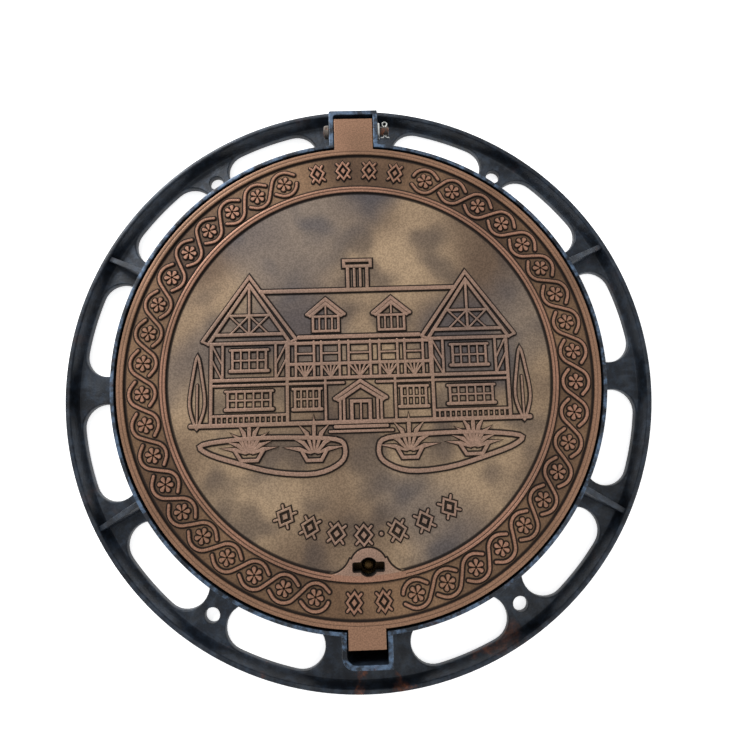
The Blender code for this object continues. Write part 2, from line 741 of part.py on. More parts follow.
def build_lock_spring():
    """A compression spring between the housing floor and the plug's disc."""
    low = HOUSING_FLOOR + TOUCH_GAP + SPRING_WIRE
    high = PLUG_DISC_UNDER - TOUCH_GAP - SPRING_WIRE
    count = SPRING_TURNS * SPRING_STEPS
    curve = bpy.data.curves.new("lock_spring", "CURVE")
    curve.dimensions = "3D"
    curve.bevel_depth = SPRING_WIRE
    curve.bevel_resolution = 2
    curve.use_fill_caps = True
    spline = curve.splines.new("POLY")
    spline.points.add(count)
    for index, point in enumerate(spline.points):
        angle = math.tau * index / SPRING_STEPS
        height = low + (high - low) * index / count
        x = SPRING_RADIUS * math.cos(angle)
        y = SPRING_RADIUS * math.sin(angle)
        point.co = (x, y, height, 1.0)
    return as_part(at_lock(bpy.data.objects.new("lock_spring", curve)), "dark_steel")


def build_thrust_washer():
    low = TONGUE_TOP + TOUCH_GAP
    high = HOUSING_UNDERSIDE - TOUCH_GAP
    ring = washer(
        "lock_thrust_washer", PLUG_SHAFT_RADIUS + TOUCH_GAP, THRUST_WASHER_RADIUS, low, high
    )
    return as_part(at_lock(ring), "lock_brass")


def build_lock_tongue():
    """The locking tongue: a round hub with a square hole and one long round-ended arm."""
    half = TONGUE_WIDTH / 2
    edge = math.asin(half / TONGUE_HUB_RADIUS)
    tip = TONGUE_LENGTH - half
    outline = arc((0.0, 0.0), TONGUE_HUB_RADIUS, edge, math.tau - edge, 25)
    outline += arc((tip, 0.0), half, -math.pi / 2, math.pi / 2, 13)
    tongue = extruded("lock_tongue", outline, TONGUE_UNDERSIDE, TONGUE_TOP)
    hole_half = SQUARE_HALF + TOUCH_GAP
    hole = box(
        "tongue_square_hole", (-hole_half, -hole_half, TONGUE_UNDERSIDE - 0.001),
        (hole_half, hole_half, TONGUE_TOP + 0.001),
    )
    boolean(at_lock(tongue), "DIFFERENCE", at_lock(hole))
    return as_part(tongue, "zinc_steel")


def build_tongue_fixing():
    """The washer and the nut that hold the tongue on the plug."""
    high = TONGUE_UNDERSIDE - TOUCH_GAP
    low = high - TONGUE_WASHER_THICKNESS
    bore = THREAD_RADIUS + TOUCH_GAP
    ring = washer("lock_tongue_washer", bore, TONGUE_WASHER_RADIUS, low, high, 24)
    as_part(at_lock(ring), "zinc_steel")
    nut_top = low - TOUCH_GAP
    nut_under = nut_top - NUT_HEIGHT
    nut = cylinder("lock_nut", NUT_RADIUS, (0, 0, nut_under), (0, 0, nut_top), 6)
    nut_bore = cylinder(
        "nut_bore", bore, (0, 0, nut_under - 0.001), (0, 0, nut_top + 0.001), 24
    )
    boolean(at_lock(nut), "DIFFERENCE", at_lock(nut_bore))
    return as_part(nut, "zinc_steel")


def main():
    build_frame()
    build_gasket()
    build_hinge_pin()
    build_hinge_washer()
    build_split_pin()
    build_hinge_bush()
    build_cover()
    build_lock_housing()
    build_lock_screws()
    build_lock_plug()
    build_lock_spring()
    build_thrust_washer()
    build_lock_tongue()
    build_tongue_fixing()
    for obj in PARTS.objects:
        if obj.type == "MESH":
            shade_round(obj)


main()
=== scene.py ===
"""Looks of a hinged manhole cover with a relief face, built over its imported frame.

Each sub-assembly is a class that holds its sizes and makes its own pieces: the cover and its
ornament, the anchor frame, the seal, the hinge and the lock. Sizes inside a class are in
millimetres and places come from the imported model. The origin is the centre of the frame's
underside, +Z is up and +Y points at the hinge. Bearings run clockwise from the hinge.
"""

import json
import logging
import math
from collections.abc import Callable, Sequence
from dataclasses import dataclass, field
from enum import Enum

import bmesh
import bpy
from mathutils import Matrix, Vector


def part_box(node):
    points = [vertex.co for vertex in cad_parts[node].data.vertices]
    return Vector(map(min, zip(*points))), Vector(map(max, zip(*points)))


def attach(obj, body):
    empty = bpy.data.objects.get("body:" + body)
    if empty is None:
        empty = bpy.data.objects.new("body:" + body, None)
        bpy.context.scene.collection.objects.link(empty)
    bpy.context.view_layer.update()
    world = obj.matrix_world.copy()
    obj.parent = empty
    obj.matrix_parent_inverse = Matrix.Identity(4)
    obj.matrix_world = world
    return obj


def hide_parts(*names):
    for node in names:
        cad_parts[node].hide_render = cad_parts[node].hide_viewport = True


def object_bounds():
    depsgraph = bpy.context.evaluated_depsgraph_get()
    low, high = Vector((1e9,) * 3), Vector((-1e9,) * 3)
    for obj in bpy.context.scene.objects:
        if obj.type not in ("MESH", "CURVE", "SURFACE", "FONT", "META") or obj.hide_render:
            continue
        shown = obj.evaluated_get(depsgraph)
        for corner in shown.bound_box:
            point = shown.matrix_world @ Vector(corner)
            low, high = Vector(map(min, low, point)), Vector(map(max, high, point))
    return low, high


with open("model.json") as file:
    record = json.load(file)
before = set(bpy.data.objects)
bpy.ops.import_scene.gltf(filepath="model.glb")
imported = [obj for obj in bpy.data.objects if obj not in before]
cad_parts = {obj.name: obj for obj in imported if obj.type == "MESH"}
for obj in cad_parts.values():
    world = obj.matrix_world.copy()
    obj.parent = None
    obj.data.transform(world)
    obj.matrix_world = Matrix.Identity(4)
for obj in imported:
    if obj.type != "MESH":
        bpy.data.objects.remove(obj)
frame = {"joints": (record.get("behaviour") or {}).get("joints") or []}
CAD_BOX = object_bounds()

LOG = logging.getLogger("manhole_cover")
MM = 0.001
# Point attribute that darkens a surface: dirt and patina in its hollows, and painted shade in
# recesses, gaps and holes.
GRIME_AND_SHADE = "grime_and_shade"
SMOOTH_ANGLE = math.radians(38)
MERGE_DISTANCE = 2e-6

Point = tuple[float, float]
SectionPoint = tuple[float, float, float]
Colour = tuple[float, float, float, float]
Outline = Sequence[Point]
Solid = bpy.types.Object
Finish = bpy.types.Material
Socket = bpy.types.NodeSocket
NodeTree = bpy.types.NodeTree
STOOD_ON_EDGE = Matrix(((0, 0, 1, 0), (1, 0, 0, 0), (0, 1, 0, 0), (0, 0, 0, 1)))


class Body(Enum):
    """The bodies that pieces ride on."""

    FRAME = "frame"
    COVER = "cover"
    LOCK = "lock"


class Slot(Enum):
    """The record's material slots."""

    COATED_IRON = "coated_iron"
    COPPER_FINISH = "copper_finish"
    SEAL_RUBBER = "seal_rubber"
    ZINC_STEEL = "zinc_steel"
    LOCK_BRASS = "lock_brass"
    DARK_STEEL = "dark_steel"


def tone(red: int, green: int, blue: int) -> Colour:
    """Turn a colour as a painter's chart gives it into the shader's linear values.

    Args:
        red: Display red, 0 to 255.
        green: Display green, 0 to 255.
        blue: Display blue, 0 to 255.

    Returns:
        Linear red, green, blue and an alpha of one.
    """
    shares = [channel / 255 for channel in (red, green, blue)]
    linear = [s / 12.92 if s <= 0.04045 else ((s + 0.055) / 1.055) ** 2.4 for s in shares]
    return (linear[0], linear[1], linear[2], 1.0)


@dataclass(frozen=True)
class Datums:
    """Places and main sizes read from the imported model, in millimetres.

    Attributes:
        frame_radius: Outer radius of the frame.
        height: Height of the frame, level with the cover.
        cover_radius: Radius of the cover.
        hinge_tab_end: Distance of the hinge tab's end from the centre.
        lift_tab_end: Distance of the lifting tab's end from the centre.
        pivot: Distance and height of the hinge line.
        lock: Plan position of the lock's axis.
    """

    frame_radius: float
    height: float
    cover_radius: float
    hinge_tab_end: float
    lift_tab_end: float
    pivot: Point
    lock: Point

    @classmethod
    def read(cls) -> "Datums":
        """Read the datums from the frame's boxes and joints.

        Returns:
            The datums.
        """
        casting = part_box("frame_casting")[1]
        cover_low, cover_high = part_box("cover_casting")
        joints = {joint["name"]: joint["pos_m"] for joint in frame["joints"]}
        hinge = joints["cover_hinge"]
        lock = joints["lock_turn"]
        return cls(frame_radius=casting.x / MM, height=casting.z / MM,
            cover_radius=cover_high.x / MM, hinge_tab_end=cover_high.y / MM,
            lift_tab_end=-cover_low.y / MM, pivot=(hinge[1] / MM, hinge[2] / MM),
            lock=(lock[0] / MM, lock[1] / MM))


# ---- meshes --------------------------------------------------------------------------------
def arc(centre: Point, radius: float, first: float, last: float, count: int) -> list[Point]:
    """Points on an arc, both ends included.

    Args:
        centre: Centre of the arc.
        radius: Radius of the arc.
        first: First angle in degrees, from +X.
        last: Last angle in degrees.
        count: How many points.

    Returns:
        The points in order.
    """
    angles = [math.radians(first + (last - first) * k / (count - 1)) for k in range(count)]
    return [(centre[0] + radius * math.cos(a), centre[1] + radius * math.sin(a)) for a in angles]


def on_bearing(radius: float, bearing: float) -> Point:
    """Plan position at a radius and a bearing in degrees, clockwise from the hinge."""
    angle = math.radians(bearing)
    return (radius * math.sin(angle), radius * math.cos(angle))


def tidy(mesh: bpy.types.Mesh) -> None:
    """Merge doubles, drop faces without area and turn all faces outward.

    Args:
        mesh: The mesh to clean.
    """
    work = bmesh.new()
    work.from_mesh(mesh)
    bmesh.ops.remove_doubles(work, verts=work.verts, dist=MERGE_DISTANCE)
    bmesh.ops.dissolve_degenerate(work, edges=work.edges, dist=MERGE_DISTANCE)
    bmesh.ops.recalc_face_normals(work, faces=work.faces)
    work.to_mesh(mesh)
    work.free()


def new_piece(name: str, mesh: bpy.types.Mesh) -> Solid:
    """Put a mesh into the scene as an object at the origin.

    Args:
        name: Name of the object.
        mesh: Its mesh, with its place in it.

    Returns:
        The object.
    """
    piece = bpy.data.objects.new(name, mesh)
    bpy.context.scene.collection.objects.link(piece)
    return piece


def skin(start: int, size: int, count: int, wrap: bool = False) -> list[tuple[int, ...]]:
    """Faces that join rings of points into a closed solid.

    Args:
        start: Number of the first ring's first point.
        size: Points in each ring.
        count: How many rings.
        wrap: Join the last ring to the first instead of capping both.

    Returns:
        The faces as point numbers.
    """
    faces = []
    for row in range(count if wrap else count - 1):
        here = start + row * size
        there = start + (row + 1) % count * size
        for column in range(size):
            beside = (column + 1) % size
            faces.append((here + column, here + beside, there + beside, there + column))
    if not wrap:
        faces.append(tuple(start + k for k in reversed(range(size))))
        faces.append(tuple(start + (count - 1) * size + k for k in range(size)))
    return faces


def from_points(name: str, points: Sequence[Vector], dirt_and_shade_values: Sequence[float],
        faces: Sequence[tuple[int, ...]]) -> Solid:
    """Make a closed solid from points in millimetres, their dirt and painted shade, and their
    faces.

    Args:
        name: Name of the object.
        points: Points in millimetres.
        dirt_and_shade_values: Dirt and painted shade of each point, 0 to 1.
        faces: Faces as point numbers.

    Returns:
        The object.
    """
    mesh = bpy.data.meshes.new(name)
    mesh.from_pydata([tuple(point * MM) for point in points], [], faces)
    mesh.attributes.new(GRIME_AND_SHADE, "FLOAT", "POINT").data.foreach_set("value", dirt_and_shade_values)
    tidy(mesh)
    return new_piece(name, mesh)


def from_rings(name: str, rings: Sequence[Sequence[Vector]]) -> Solid:
    """Skin equal rings of points in millimetres into a clean closed solid.

    Args:
        name: Name of the object.
        rings: Rings of points, all with the same count.

    Returns:
        The object.
    """
    points = [point for ring in rings for point in ring]
    faces = skin(0, len(rings[0]), len(rings))
    return from_points(name, points, [0.0] * len(points), faces)


def lofted(name: str, outlines: Sequence[tuple[Outline, float]]) -> Solid:
    """Skin plan outlines at their heights into a closed solid.

    Args:
        name: Name of the object.
        outlines: Pairs of an outline and its height, with equal point counts.

    Returns:
        The object.
    """
    rings = [[Vector((x, y, height)) for x, y in outline] for outline, height in outlines]
    return from_rings(name, rings)


def grown(outline: Outline, distance: float) -> list[Point]:
    """Move a counter-clockwise outline outward by a distance, with mitred corners.

    Args:
        outline: The outline.
        distance: How far it moves.

    Returns:
        The moved outline.
    """
    count = len(outline)
    moved = []
    for index, (x, y) in enumerate(outline):
        before = Vector(outline[index - 1])
        after = Vector(outline[(index + 1) % count])
        here = Vector((x, y))
        into = (here - before).normalized()
        out = (after - here).normalized()
        normal = Vector((into.y, -into.x)) + Vector((out.y, -out.x))
        normal.normalize()
        stretch = min(1.6, 1 / max(0.3, normal.dot(Vector((into.y, -into.x)))))
        moved.append((x + normal.x * distance * stretch, y + normal.y * distance * stretch))
    return moved


def block(name: str, low: Sequence[float], high: Sequence[float]) -> Solid:
    """A block between two corners, used for cutters and for solids that are bevelled later."""
    outline = [(low[0], low[1]), (high[0], low[1]), (high[0], high[1]), (low[0], high[1])]
    return lofted(name, [(outline, low[2]), (outline, high[2])])


def baked(piece: Solid) -> Solid:
    """Replace an object's mesh with its evaluated result and remove its modifiers.

    Args:
        piece: The piece.

    Returns:
        The same object, with a plain mesh.
    """
    graph = bpy.context.evaluated_depsgraph_get()
    mesh = bpy.data.meshes.new_from_object(piece.evaluated_get(graph), depsgraph=graph)
    old = piece.data
    piece.modifiers.clear()
    piece.data = mesh
    mesh.name = piece.name
    if old.users == 0:
        bpy.data.meshes.remove(old)
    return piece


def carved(piece: Solid, tools: Sequence[Solid], operation: str = "DIFFERENCE") -> Solid:
    """Cut or join tools with the exact solver and remove them.

    Args:
        piece: The solid to change.
        tools: Closed solids that cut it or are joined to it.
        operation: DIFFERENCE or UNION.

    Returns:
        The changed piece.
    """
    for tool in tools:
        modifier = piece.modifiers.new(tool.name, "BOOLEAN")
        modifier.operation = operation
        modifier.solver = "EXACT"
        modifier.object = tool
    baked(piece)
    for tool in tools:
        bpy.data.objects.remove(tool, do_unlink=True)
    return piece


def bevelled(piece: Solid, width: float, segments: int = 2, angle: float = 32.0) -> Solid:
    """Round a solid's edges that are sharper than an angle.

    Args:
        piece: The piece.
        width: Width of the rounding, in millimetres.
        segments: Flats in the rounding.
        angle: Sharpness, in degrees, from which an edge is rounded.

    Returns:
        The rounded solid.
    """
    bevel = piece.modifiers.new("rounding", "BEVEL")
    bevel.width = width * MM
    bevel.segments = segments
    bevel.limit_method = "ANGLE"
    bevel.angle_limit = math.radians(angle)
    bevel.use_clamp_overlap = True
    return baked(piece)


def joined(name: str, pieces: Sequence[Solid]) -> Solid:
    """Gather closed solids into one object and remove their own objects.

    Args:
        name: Name of the object.
        pieces: The solids, each with its materials.

    Returns:
        The gathered object.
    """
    work = bmesh.new()
    materials: list[Finish] = []
    for piece in pieces:
        mesh = piece.data.copy()
        offset = len(materials)
        materials.extend(piece.data.materials)
        for polygon in mesh.polygons:
            polygon.material_index += offset
        work.from_mesh(mesh)
        bpy.data.meshes.remove(mesh)
        bpy.data.objects.remove(piece, do_unlink=True)
    mesh = bpy.data.meshes.new(name)
    work.to_mesh(mesh)
    work.free()
    for material in materials:
        mesh.materials.append(material)
    return new_piece(name, mesh)


def smoothed(piece: Solid, angle: float = SMOOTH_ANGLE) -> Solid:
    """Shade a piece smooth, keep its sharp edges and weight its normals by face area.

    Args:
        piece: The piece.
        angle: Edges sharper than this stay sharp.

    Returns:
        The shaded piece.
    """
    piece.data.shade_smooth()
    piece.data.set_sharp_from_angle(angle=angle)
    weighting = piece.modifiers.new("weighting", "WEIGHTED_NORMAL")
    weighting.keep_sharp = True
    return baked(piece)


def soil_and_shade(piece: Solid, rule: Callable[[Vector], float]) -> None:
    """Set the dirt and painted shade of every point of a piece by a rule on its place in
    millimetres.

    Args:
        piece: The piece.
        rule: Gives the dirt and painted shade of a place in millimetres.
    """
    mesh = piece.data
    if GRIME_AND_SHADE not in mesh.attributes:
        mesh.attributes.new(GRIME_AND_SHADE, "FLOAT", "POINT")
    values = [rule(vertex.co / MM) for vertex in mesh.vertices]
    mesh.attributes[GRIME_AND_SHADE].data.foreach_set("value", values)


def moved(piece: Solid, matrix: Matrix) -> Solid:
    """Place a piece by its mesh, so that its object stays at the origin.

    Args:
        piece: The piece.
        matrix: The move, in metres.

    Returns:
        The moved piece.
    """
    piece.data.transform(matrix)
    if matrix.determinant() < 0:
        piece.data.flip_normals()
    return piece


def shifted(piece: Solid, x: float, y: float, z: float = 0.0) -> Solid:
    """Move a piece by millimetres."""
    return moved(piece, Matrix.Translation(Vector((x, y, z)) * MM))


def section_dirt_and_shade(section: Sequence[SectionPoint], point: Vector, within: float) -> float | None:
    """Dirt and painted shade of the section's point nearest to a place on its turned solid.

    Args:
        section: The turned section.
        point: The place, in millimetres.
        within: How near the section's point has to be.

    Returns:
        The dirt and painted shade, or None where no point of the section is that near.
    """
    reach = math.hypot(point.x, point.y)
    best, value = within, None
    for radius, height, dirt_and_shade in section:
        gap = math.hypot(reach - radius, point.z - height)
        if gap < best:
            best, value = gap, dirt_and_shade
    return value


def laid_on_hinge(piece: Solid, datums: Datums) -> Solid:
    """Lay a piece made up the Z axis along the hinge line, with its top end towards +X."""
    place = Matrix.Translation(Vector((0.0, *datums.pivot)) * MM)
    return moved(piece, place @ Matrix.Rotation(math.pi / 2, 4, "Y"))


# ---- geometry trees --------------------------------------------------------------------------
class GeometryTree:
    """A Geometry Nodes tree with named inputs, built once and used by many pieces."""

    def __init__(self, name: str, inputs: dict[str, str]) -> None:
        """Make the tree's sockets.

        Args:
            name: Name of the tree.
            inputs: Names of the inputs and their socket types.
        """
        self.tree = bpy.data.node_groups.new(name, "GeometryNodeTree")
        sockets = self.tree.interface
        sockets.new_socket("Geometry", in_out="OUTPUT", socket_type="NodeSocketGeometry")
        sockets.new_socket("Geometry", in_out="INPUT", socket_type="NodeSocketGeometry")
        self.sockets = {label: sockets.new_socket(label, in_out="INPUT", socket_type=kind)
            for label, kind in inputs.items()}
        self.source = self.tree.nodes.new("NodeGroupInput")

    def node(self, kind: str, inputs: dict | None = None, **settings: object) -> bpy.types.Node:
        """Add a node. See add_node for its arguments."""
        return add_node(self.tree, kind, inputs, **settings)

    def end(self, geometry: Socket) -> None:
        """End the tree in Realize Instances and Set Material.

        Args:
            geometry: The shape that the tree made.
        """
        real = self.node("GeometryNodeRealizeInstances", {"Geometry": geometry})
        dressed = self.node("GeometryNodeSetMaterial",
            {"Geometry": real.outputs[0], "Material": self.source.outputs["Material"]})
        result = self.tree.nodes.new("NodeGroupOutput")
        self.tree.links.new(dressed.outputs[0], result.inputs[0])

    def run(self, piece: Solid, **values: object) -> Solid:
        """Run the tree on a piece and bake the result.

        Args:
            piece: The object whose mesh goes in.
            values: Input values, named as the inputs are with _ for a space.

        Returns:
            The piece with its new mesh and no modifier.
        """
        modifier = piece.modifiers.new(self.tree.name, "NODES")
        modifier.node_group = self.tree
        for label, value in values.items():
            if value is not None:
                modifier[self.sockets[label.replace("_", " ")].identifier] = value
        return baked(piece)


def add_node(tree: NodeTree, kind: str, inputs: dict | None = None,
        **settings: object) -> bpy.types.Node:
    """Add a node to a tree, with its settings, its values and its links.

    Args:
        tree: The tree that gets the node.
        kind: The node's type.
        inputs: Input names or numbers, each with a value or a socket to link.
        settings: Properties of the node.

    Returns:
        The node.
    """
    made = tree.nodes.new(kind)
    for label, value in settings.items():
        setattr(made, label, value)
    for label, value in (inputs or {}).items():
        if isinstance(value, Socket):
            tree.links.new(value, made.inputs[label])
        else:
            made.inputs[label].default_value = value
    return made


def turning_tree() -> GeometryTree:
    """The tree that turns a section, a string of points in the XZ plane, about the Z axis.

    Returns:
        The tree.
    """
    tree = GeometryTree("turned_section",
        {"Steps": "NodeSocketInt", "Material": "NodeSocketMaterial"})
    section = tree.source.outputs["Geometry"]
    steps = tree.source.outputs["Steps"]
    size = tree.node("GeometryNodeAttributeDomainSize", {"Geometry": section})
    rows = tree.node("FunctionNodeIntegerMath", {0: steps, 1: 1}, operation="ADD")
    grid = tree.node("GeometryNodeMeshGrid", {"Vertices X": size.outputs["Point Count"],
        "Vertices Y": rows.outputs[0]})
    index = tree.node("GeometryNodeInputIndex")
    along = tree.node("FunctionNodeIntegerMath", {0: index.outputs[0], 1: rows.outputs[0]},
        operation="DIVIDE_FLOOR")
    around = tree.node("FunctionNodeIntegerMath", {0: index.outputs[0], 1: rows.outputs[0]},
        operation="MODULO")
    share = tree.node("ShaderNodeMath", {0: around.outputs[0], 1: steps}, operation="DIVIDE")
    angle = tree.node("ShaderNodeMath", {0: share.outputs[0], 1: math.tau}, operation="MULTIPLY")
    place = tree.node("GeometryNodeInputPosition")
    point = tree.node("GeometryNodeSampleIndex", {"Geometry": section, "Value": place.outputs[0],
        "Index": along.outputs[0]}, data_type="FLOAT_VECTOR")
    spun = tree.node("ShaderNodeVectorRotate", {"Vector": point.outputs[0],
        "Angle": angle.outputs[0]}, rotation_type="Z_AXIS")
    # Carries each section point's dirt and painted shade round the turn.
    dirt_and_shade = tree.node("GeometryNodeInputNamedAttribute", {"Name": GRIME_AND_SHADE}, data_type="FLOAT")
    point_dirt_and_shade = tree.node("GeometryNodeSampleIndex", {"Geometry": section,
        "Value": dirt_and_shade.outputs[0], "Index": along.outputs[0]}, data_type="FLOAT")
    stored = tree.node("GeometryNodeStoreNamedAttribute", {
        "Geometry": grid.outputs["Mesh"], "Name": GRIME_AND_SHADE, "Value": point_dirt_and_shade.outputs[0]},
        data_type="FLOAT", domain="POINT")
    turned_grid = tree.node("GeometryNodeSetPosition",
        {"Geometry": stored.outputs[0], "Position": spun.outputs[0]})
    merged = tree.node("GeometryNodeMergeByDistance", {"Geometry": turned_grid.outputs[0],
        "Distance": MERGE_DISTANCE})
    tree.end(merged.outputs[0])
    return tree


def ring_tree() -> GeometryTree:
    """The tree that repeats a shape about the Z axis, from a first bearing by a pitch.

    Returns:
        The tree.
    """
    tree = GeometryTree("ring_of_shapes",
        {"Count": "NodeSocketInt", "First bearing": "NodeSocketFloat", "Pitch": "NodeSocketFloat",
        "Material": "NodeSocketMaterial"})
    source = tree.source.outputs
    line = tree.node("GeometryNodeMeshLine", {"Count": source["Count"], "Offset": (0, 0, 0)})
    index = tree.node("GeometryNodeInputIndex")
    steps = tree.node("ShaderNodeMath", {0: index.outputs[0], 1: source["Pitch"],
        2: source["First bearing"]}, operation="MULTIPLY_ADD")
    angle = tree.node("ShaderNodeMath", {0: steps.outputs[0], 1: -math.pi / 180},
        operation="MULTIPLY")
    turn = tree.node("ShaderNodeCombineXYZ", {"Z": angle.outputs[0]})
    copies = tree.node("GeometryNodeInstanceOnPoints",
        {"Points": line.outputs["Mesh"], "Instance": source["Geometry"],
        "Rotation": turn.outputs[0]})
    tree.end(copies.outputs[0])
    return tree


class Shop:
    """Makes turned and repeated shapes with the geometry trees."""

    def __init__(self) -> None:
        """Build both trees."""
        self.turning = turning_tree()
        self.ring = ring_tree()

    def turned(self, name: str, section: Sequence[Sequence[float]], steps: int,
            material: Finish | None = None, closed: bool = True) -> Solid:
        """Turn a section once round the Z axis.

        Args:
            name: Name of the object.
            section: Points of radius, height and, where it has it, dirt and painted shade, in
                millimetres.
            steps: How many flats make the round.
            material: The finish.
            closed: Join the last point to the first; an open one starts and ends on the axis.

        Returns:
            The turned solid.
        """
        points = list(section) + ([section[0]] if closed else [])
        mesh = bpy.data.meshes.new(name)
        mesh.from_pydata([(p[0] * MM, 0.0, p[1] * MM) for p in points], [], [])
        values = [p[2] if len(p) > 2 else 0.0 for p in points]
        mesh.attributes.new(GRIME_AND_SHADE, "FLOAT", "POINT").data.foreach_set("value", values)
        piece = self.turning.run(new_piece(name, mesh), Steps=steps, Material=material)
        tidy(piece.data)
        return piece

    def around(self, piece: Solid, first: float, pitch: float, count: int,
            material: Finish | None = None) -> Solid:
        """Repeat a piece about the Z axis, from a first bearing by a pitch in degrees."""
        return self.ring.run(piece, Count=count, First_bearing=first, Pitch=pitch,
            Material=material)

    def both_sides(self, make: Callable[[], Solid], first: float, pitch: float, count: int,
            material: Finish | None = None) -> list[Solid]:
        """Repeat a shape on the east side, and on the west side at the mirrored bearings."""
        last = first + pitch * (count - 1)
        return [self.around(make(), start, pitch, count, material) for start in (first, -last)]


# ---- shared shader groups --------------------------------------------------------------------
def tone_mix(tree: NodeTree, factor: object, first: object, second: object) -> Socket:
    """Blend two colours by a factor and return the colour socket."""
    mix = add_node(tree, "ShaderNodeMix", {0: factor, 6: first, 7: second}, data_type="RGBA")
    return mix.outputs[2]


def scaled(tree: NodeTree, value: Socket, low: float, high: float, to_low: float = 0.0,
        to_high: float = 1.0) -> Socket:
    """Map a value from one range to another, held at both ends and eased."""
    mapped = add_node(tree, "ShaderNodeMapRange",
        {"Value": value, "From Min": low, "From Max": high, "To Min": to_low, "To Max": to_high},
        interpolation_type="SMOOTHSTEP", clamp=True)
    return mapped.outputs[0]


def reckoned(tree: NodeTree, operation: str, first: object, second: object = 0.0,
        third: object = 0.0) -> Socket:
    """Work out one Math node and return its value."""
    return add_node(tree, "ShaderNodeMath", {0: first, 1: second, 2: third},
        operation=operation).outputs[0]


def noise(tree: NodeTree, vector: Socket, scale: object, detail: float = 3.0,
        roughness: float = 0.55, distortion: float = 0.0) -> Socket:
    """Make a noise value over a surface."""
    made = add_node(tree, "ShaderNodeTexNoise", {
        "Vector": vector, "Scale": scale, "Detail": detail, "Roughness": roughness,
        "Distortion": distortion})
    return made.outputs["Fac"]


class EffectGroup:
    """A shader node group with named inputs and outputs."""

    def __init__(self, name: str, inputs: dict[str, float | None],
                 outputs: dict[str, str]) -> None:
        """Make the group's sockets.

        Args:
            name: Name of the group.
            inputs: Input names and default numbers; None makes a vector.
            outputs: Output names and socket types.
        """
        self.tree = bpy.data.node_groups.new(name, "ShaderNodeTree")
        for label, value in inputs.items():
            kind = "NodeSocketVector" if value is None else "NodeSocketFloat"
            socket = self.tree.interface.new_socket(label, in_out="INPUT", socket_type=kind)
            if value is not None:
                socket.default_value = value
        for label, kind in outputs.items():
            self.tree.interface.new_socket(label, in_out="OUTPUT", socket_type=kind)
        self.inputs = self.tree.nodes.new("NodeGroupInput").outputs
        self.result = self.tree.nodes.new("NodeGroupOutput")

    def give(self, label: str, socket: Socket) -> None:
        """Feed one of the group's outputs."""
        self.tree.links.new(socket, self.result.inputs[label])


def cloud_group() -> EffectGroup:
    """Broad soft clouds of tarnish in two layers, and a fine sprayed speckle.

    Returns:
        The group.
    """
    group = EffectGroup("tarnish_clouds", {"Vector": None, "Size": 11.0, "Shift": 0.0},
        {"Cloud": "NodeSocketFloat", "Wisp": "NodeSocketFloat", "Speckle": "NodeSocketFloat"})
    tree = group.tree
    offset = add_node(tree, "ShaderNodeVectorMath", {0: group.inputs["Vector"],
        1: group.inputs["Shift"]}, operation="ADD").outputs[0]
    broad = noise(tree, offset, group.inputs["Size"], 0.5, 0.4, 0.1)
    wisp_size = reckoned(tree, "MULTIPLY", group.inputs["Size"], 1.9)
    wisp = noise(tree, offset, wisp_size, 1.0, 0.4, 0.1)
    fine = noise(tree, offset, 520.0, 1.0, 0.5)
    group.give("Cloud", scaled(tree, broad, 0.22, 0.76))
    group.give("Wisp", scaled(tree, wisp, 0.28, 0.76))
    group.give("Speckle", scaled(tree, fine, 0.25, 0.75))
    return group


def grain_group() -> EffectGroup:
    """Height of a sand-cast skin: coarse dimples, fine grit and a few pits.

    Returns:
        The group.
    """
    group = EffectGroup("cast_grain", {"Vector": None, "Grit": 420.0, "Pitting": 0.3},
        {"Height": "NodeSocketFloat"})
    tree = group.tree
    coarse = noise(tree, group.inputs["Vector"], 90.0, 3.0, 0.55)
    grit = noise(tree, group.inputs["Vector"], group.inputs["Grit"], 3.0, 0.6)
    cells = add_node(tree, "ShaderNodeTexVoronoi", {
        "Vector": group.inputs["Vector"], "Scale": 130.0, "Randomness": 1.0})
    pits = scaled(tree, cells.outputs["Distance"], 0.0, 0.16, 1.0, 0.0)
    rare = scaled(tree, noise(tree, group.inputs["Vector"], 31.0, 2.0), 0.55, 0.62)
    holes = reckoned(tree, "MULTIPLY", pits, rare)
    sunk = reckoned(tree, "MULTIPLY", holes, group.inputs["Pitting"])
    bumps = reckoned(tree, "MULTIPLY_ADD", coarse, 0.6, grit)
    group.give("Height", reckoned(tree, "SUBTRACT", bumps, sunk))
    return group


def wear_group() -> EffectGroup:
    """Rubbed edges: sharp convex edges, broken up by noise.

    Returns:
        The group.
    """
    group = EffectGroup("rubbed_edges", {"Vector": None, "Reach": 0.56, "Breakup": 60.0},
        {"Mask": "NodeSocketFloat"})
    tree = group.tree
    sharpness = add_node(tree, "ShaderNodeNewGeometry").outputs["Pointiness"]
    broken = noise(tree, group.inputs["Vector"], group.inputs["Breakup"], 4.0, 0.65)
    nudged = reckoned(tree, "MULTIPLY_ADD", broken, 0.08, sharpness)
    low = group.inputs["Reach"]
    over = reckoned(tree, "SUBTRACT", nudged, low)
    group.give("Mask", scaled(tree, over, 0.0, 0.05))
    return group


def rust_group() -> EffectGroup:
    """Rust that blooms in patches, with its own varied colour.

    Returns:
        The group.
    """
    group = EffectGroup("rust_bloom", {"Vector": None, "Size": 14.0, "Coverage": 0.4},
        {"Mask": "NodeSocketFloat", "Color": "NodeSocketColor"})
    tree = group.tree
    patches = noise(tree, group.inputs["Vector"], group.inputs["Size"], 5.0, 0.62, 0.5)
    edge = reckoned(tree, "SUBTRACT", 1.0, group.inputs["Coverage"])
    over = reckoned(tree, "SUBTRACT", patches, edge)
    group.give("Mask", scaled(tree, over, 0.0, 0.14))
    shade = scaled(tree, noise(tree, group.inputs["Vector"], 160.0, 4.0, 0.6), 0.3, 0.7)
    group.give("Color", tone_mix(tree, shade, tone(62, 36, 26), tone(138, 78, 48)))
    return group


